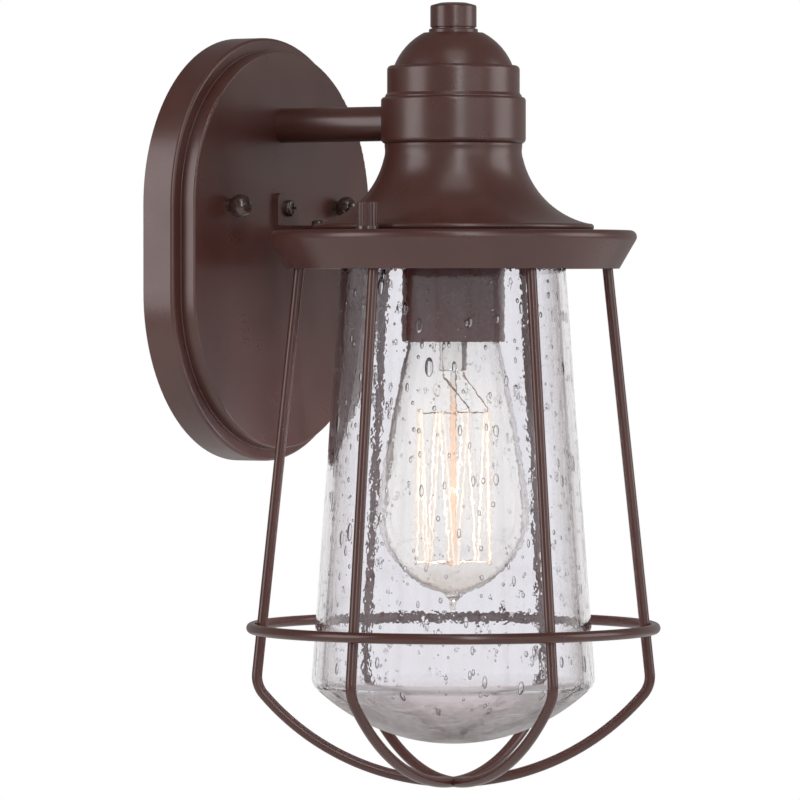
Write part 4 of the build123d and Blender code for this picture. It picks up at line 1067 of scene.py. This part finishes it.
def makeFloor():
    build = bmesh.new()
    bmesh.ops.create_circle(build, cap_ends=True, segments=96, radius=stage["floorRadius"])
    bmesh.ops.translate(build, verts=build.verts, vec=(axisX, axisY, cadBox[0].z - stage["floorDrop"]))
    floor = meshObject("floor", build, smooth=False)
    material, tree, place = newMaterial("paleFloor")
    darker = [c * 0.98 for c in stage["floor"]]
    colour = patchyColour(tree, place, stage["floor"], darker, stage["patch"])
    pale = addNode(tree, "ShaderNodeBsdfPrincipled", {"Base Color": colour, "Roughness": stage["roughness"]})
    clear = addNode(tree, "ShaderNodeBsdfTransparent")
    under = addNode(tree, "ShaderNodeNewGeometry").outputs["Backfacing"]
    both = {0: under, 1: pale.outputs[0], 2: clear.outputs[0]}
    setSurface(tree, addNode(tree, "ShaderNodeMixShader", both))
    floor.data.materials.append(material)


def placeLamp(name, data, location, power, colour):
    # a lamp that lights the lantern but isn't seen itself
    data.energy, data.color = power, colour
    lamp = bpy.data.objects.new(name, data)
    lamp.location = location
    lamp.visible_camera = False
    lamp.visible_transmission = False
    bpy.context.scene.collection.objects.link(lamp)
    return lamp


def makeLamp(name, bearing, height, distance, width, tall, power, colour):
    data = bpy.data.lights.new(name, "AREA")
    data.shape, data.size, data.size_y = "RECTANGLE", width, tall
    turn = radians(bearing)
    location = (axisX + distance * sin(turn), axisY - distance * cos(turn), panEdge + height)
    lamp = placeLamp(name, data, location, power, colour)
    target = Vector((axisX, axisY, panEdge + lampAim))
    lamp.rotation_mode = "QUATERNION"
    lamp.rotation_quaternion = (target - lamp.location).to_track_quat("-Z", "Y")


def makeGlow():
    # the bulb's own soft light on the inner faces of the cage
    data = bpy.data.lights.new("lampGlow", "POINT")
    data.shadow_soft_size = lampGlow["radius"] * mm
    location = (axisX, axisY, panEdge + lampGlow["height"] * mm)
    placeLamp("lampGlow", data, location, lampGlow["power"], lampGlow["colour"])


def makeCamera():
    data = bpy.data.cameras.new("mainCamera")
    data.lens, data.sensor_width = camera["lens"], camera["sensor"]
    data.clip_start, data.clip_end = camera["near"], camera["far"]
    body = bpy.data.objects.new("mainCamera", data)
    turn = radians(camera["bearing"])
    reach = camera["distance"]
    body.location = (axisX + reach * sin(turn), axisY - reach * cos(turn), panEdge + camera["height"] * mm)
    body.rotation_euler = (radians(90 + camera["tilt"]), 0, turn + radians(camera["turn"]))
    bpy.context.scene.collection.objects.link(body)
    bpy.context.scene.camera = body


def makeWorld():
    surroundings = bpy.data.worlds.new("studio")
    surroundings.use_nodes = True
    bpy.context.scene.world = surroundings
    tree = surroundings.node_tree
    tree.nodes.clear()
    way = addNode(tree, "ShaderNodeTexCoord").outputs["Generated"]
    ray = addNode(tree, "ShaderNodeLightPath").outputs

    def towards(x, y):
        values = {0: way, 1: (x, y, 0.0)}
        return addNode(tree, "ShaderNodeVectorMath", values, operation="DOT_PRODUCT").outputs["Value"]

    # paint's soft reflections see darker surroundings to the left and above
    turn = radians(camera["bearing"] - world["leftTurn"])
    up = addNode(tree, "ShaderNodeSeparateXYZ", {0: way}).outputs[2]
    left = towards(-cos(turn), -sin(turn))
    leftPart = smoothRange(tree, left, *world["leftSpan"], 1.0, 1.0 - world["leftShade"])
    upperPart = smoothRange(tree, up, *world["aboveSpan"], 1.0, 1.0 - world["aboveShade"])
    gloss = mathNode(tree, "MULTIPLY", mathNode(tree, "MULTIPLY", leftPart, upperPart), world["gloss"])
    level = mixValue(tree, ray["Is Glossy Ray"], world["light"], gloss)

    # the clear glass's sharp reflections see them pale behind the lantern and dim before it
    ahead = radians(camera["bearing"])
    behind = towards(-sin(ahead), cos(ahead))
    backdrop = smoothRange(tree, behind, *world["sharpSpan"], world["sharpFront"], world["sharpBack"])
    sharp = mathNode(tree, "MULTIPLY", ray["Is Glossy Ray"], ray["Is Singular Ray"])
    level = mixValue(tree, sharp, level, backdrop)

    # the camera sees plain white, also through the glass
    white = colourOf((1.0, 1.0, 1.0))
    soft = addNode(tree, "ShaderNodeBackground", {"Color": white, "Strength": level})
    plain = addNode(tree, "ShaderNodeBackground", {"Color": white, "Strength": 1.0})
    seen = mathNode(tree, "MAXIMUM", ray["Is Camera Ray"], ray["Is Transmission Ray"])
    both = addNode(tree, "ShaderNodeMixShader", {0: seen, 1: soft.outputs[0], 2: plain.outputs[0]})
    output = addNode(tree, "ShaderNodeOutputWorld")
    tree.links.new(both.outputs[0], output.inputs["Surface"])


def clearOfGlass(*pieces):
    # the lamps light everything but the clear glass, which shows the plain surroundings
    group = bpy.data.collections.new("clearGlass")
    for piece in pieces:
        group.objects.link(piece)
    for piece in group.collection_objects:
        piece.light_linking.link_state = "EXCLUDE"
    for lamp in [item for item in bpy.context.scene.objects if item.type == "LIGHT"]:
        lamp.light_linking.receiver_collection = group


makeFloor()
for name, values in lamps.items():
    makeLamp(name, *values)
makeGlow()
clearOfGlass(shadeGlass, shadeSeeds, lampBulb)
for piece in (shadeSeeds, lampBulb, filamentHalo):
    piece.visible_shadow = False  # so many clear layers in a row would cast black specks
makeCamera()
makeWorld()
bpy.context.scene.view_settings.view_transform = "Standard"
print("stage set")
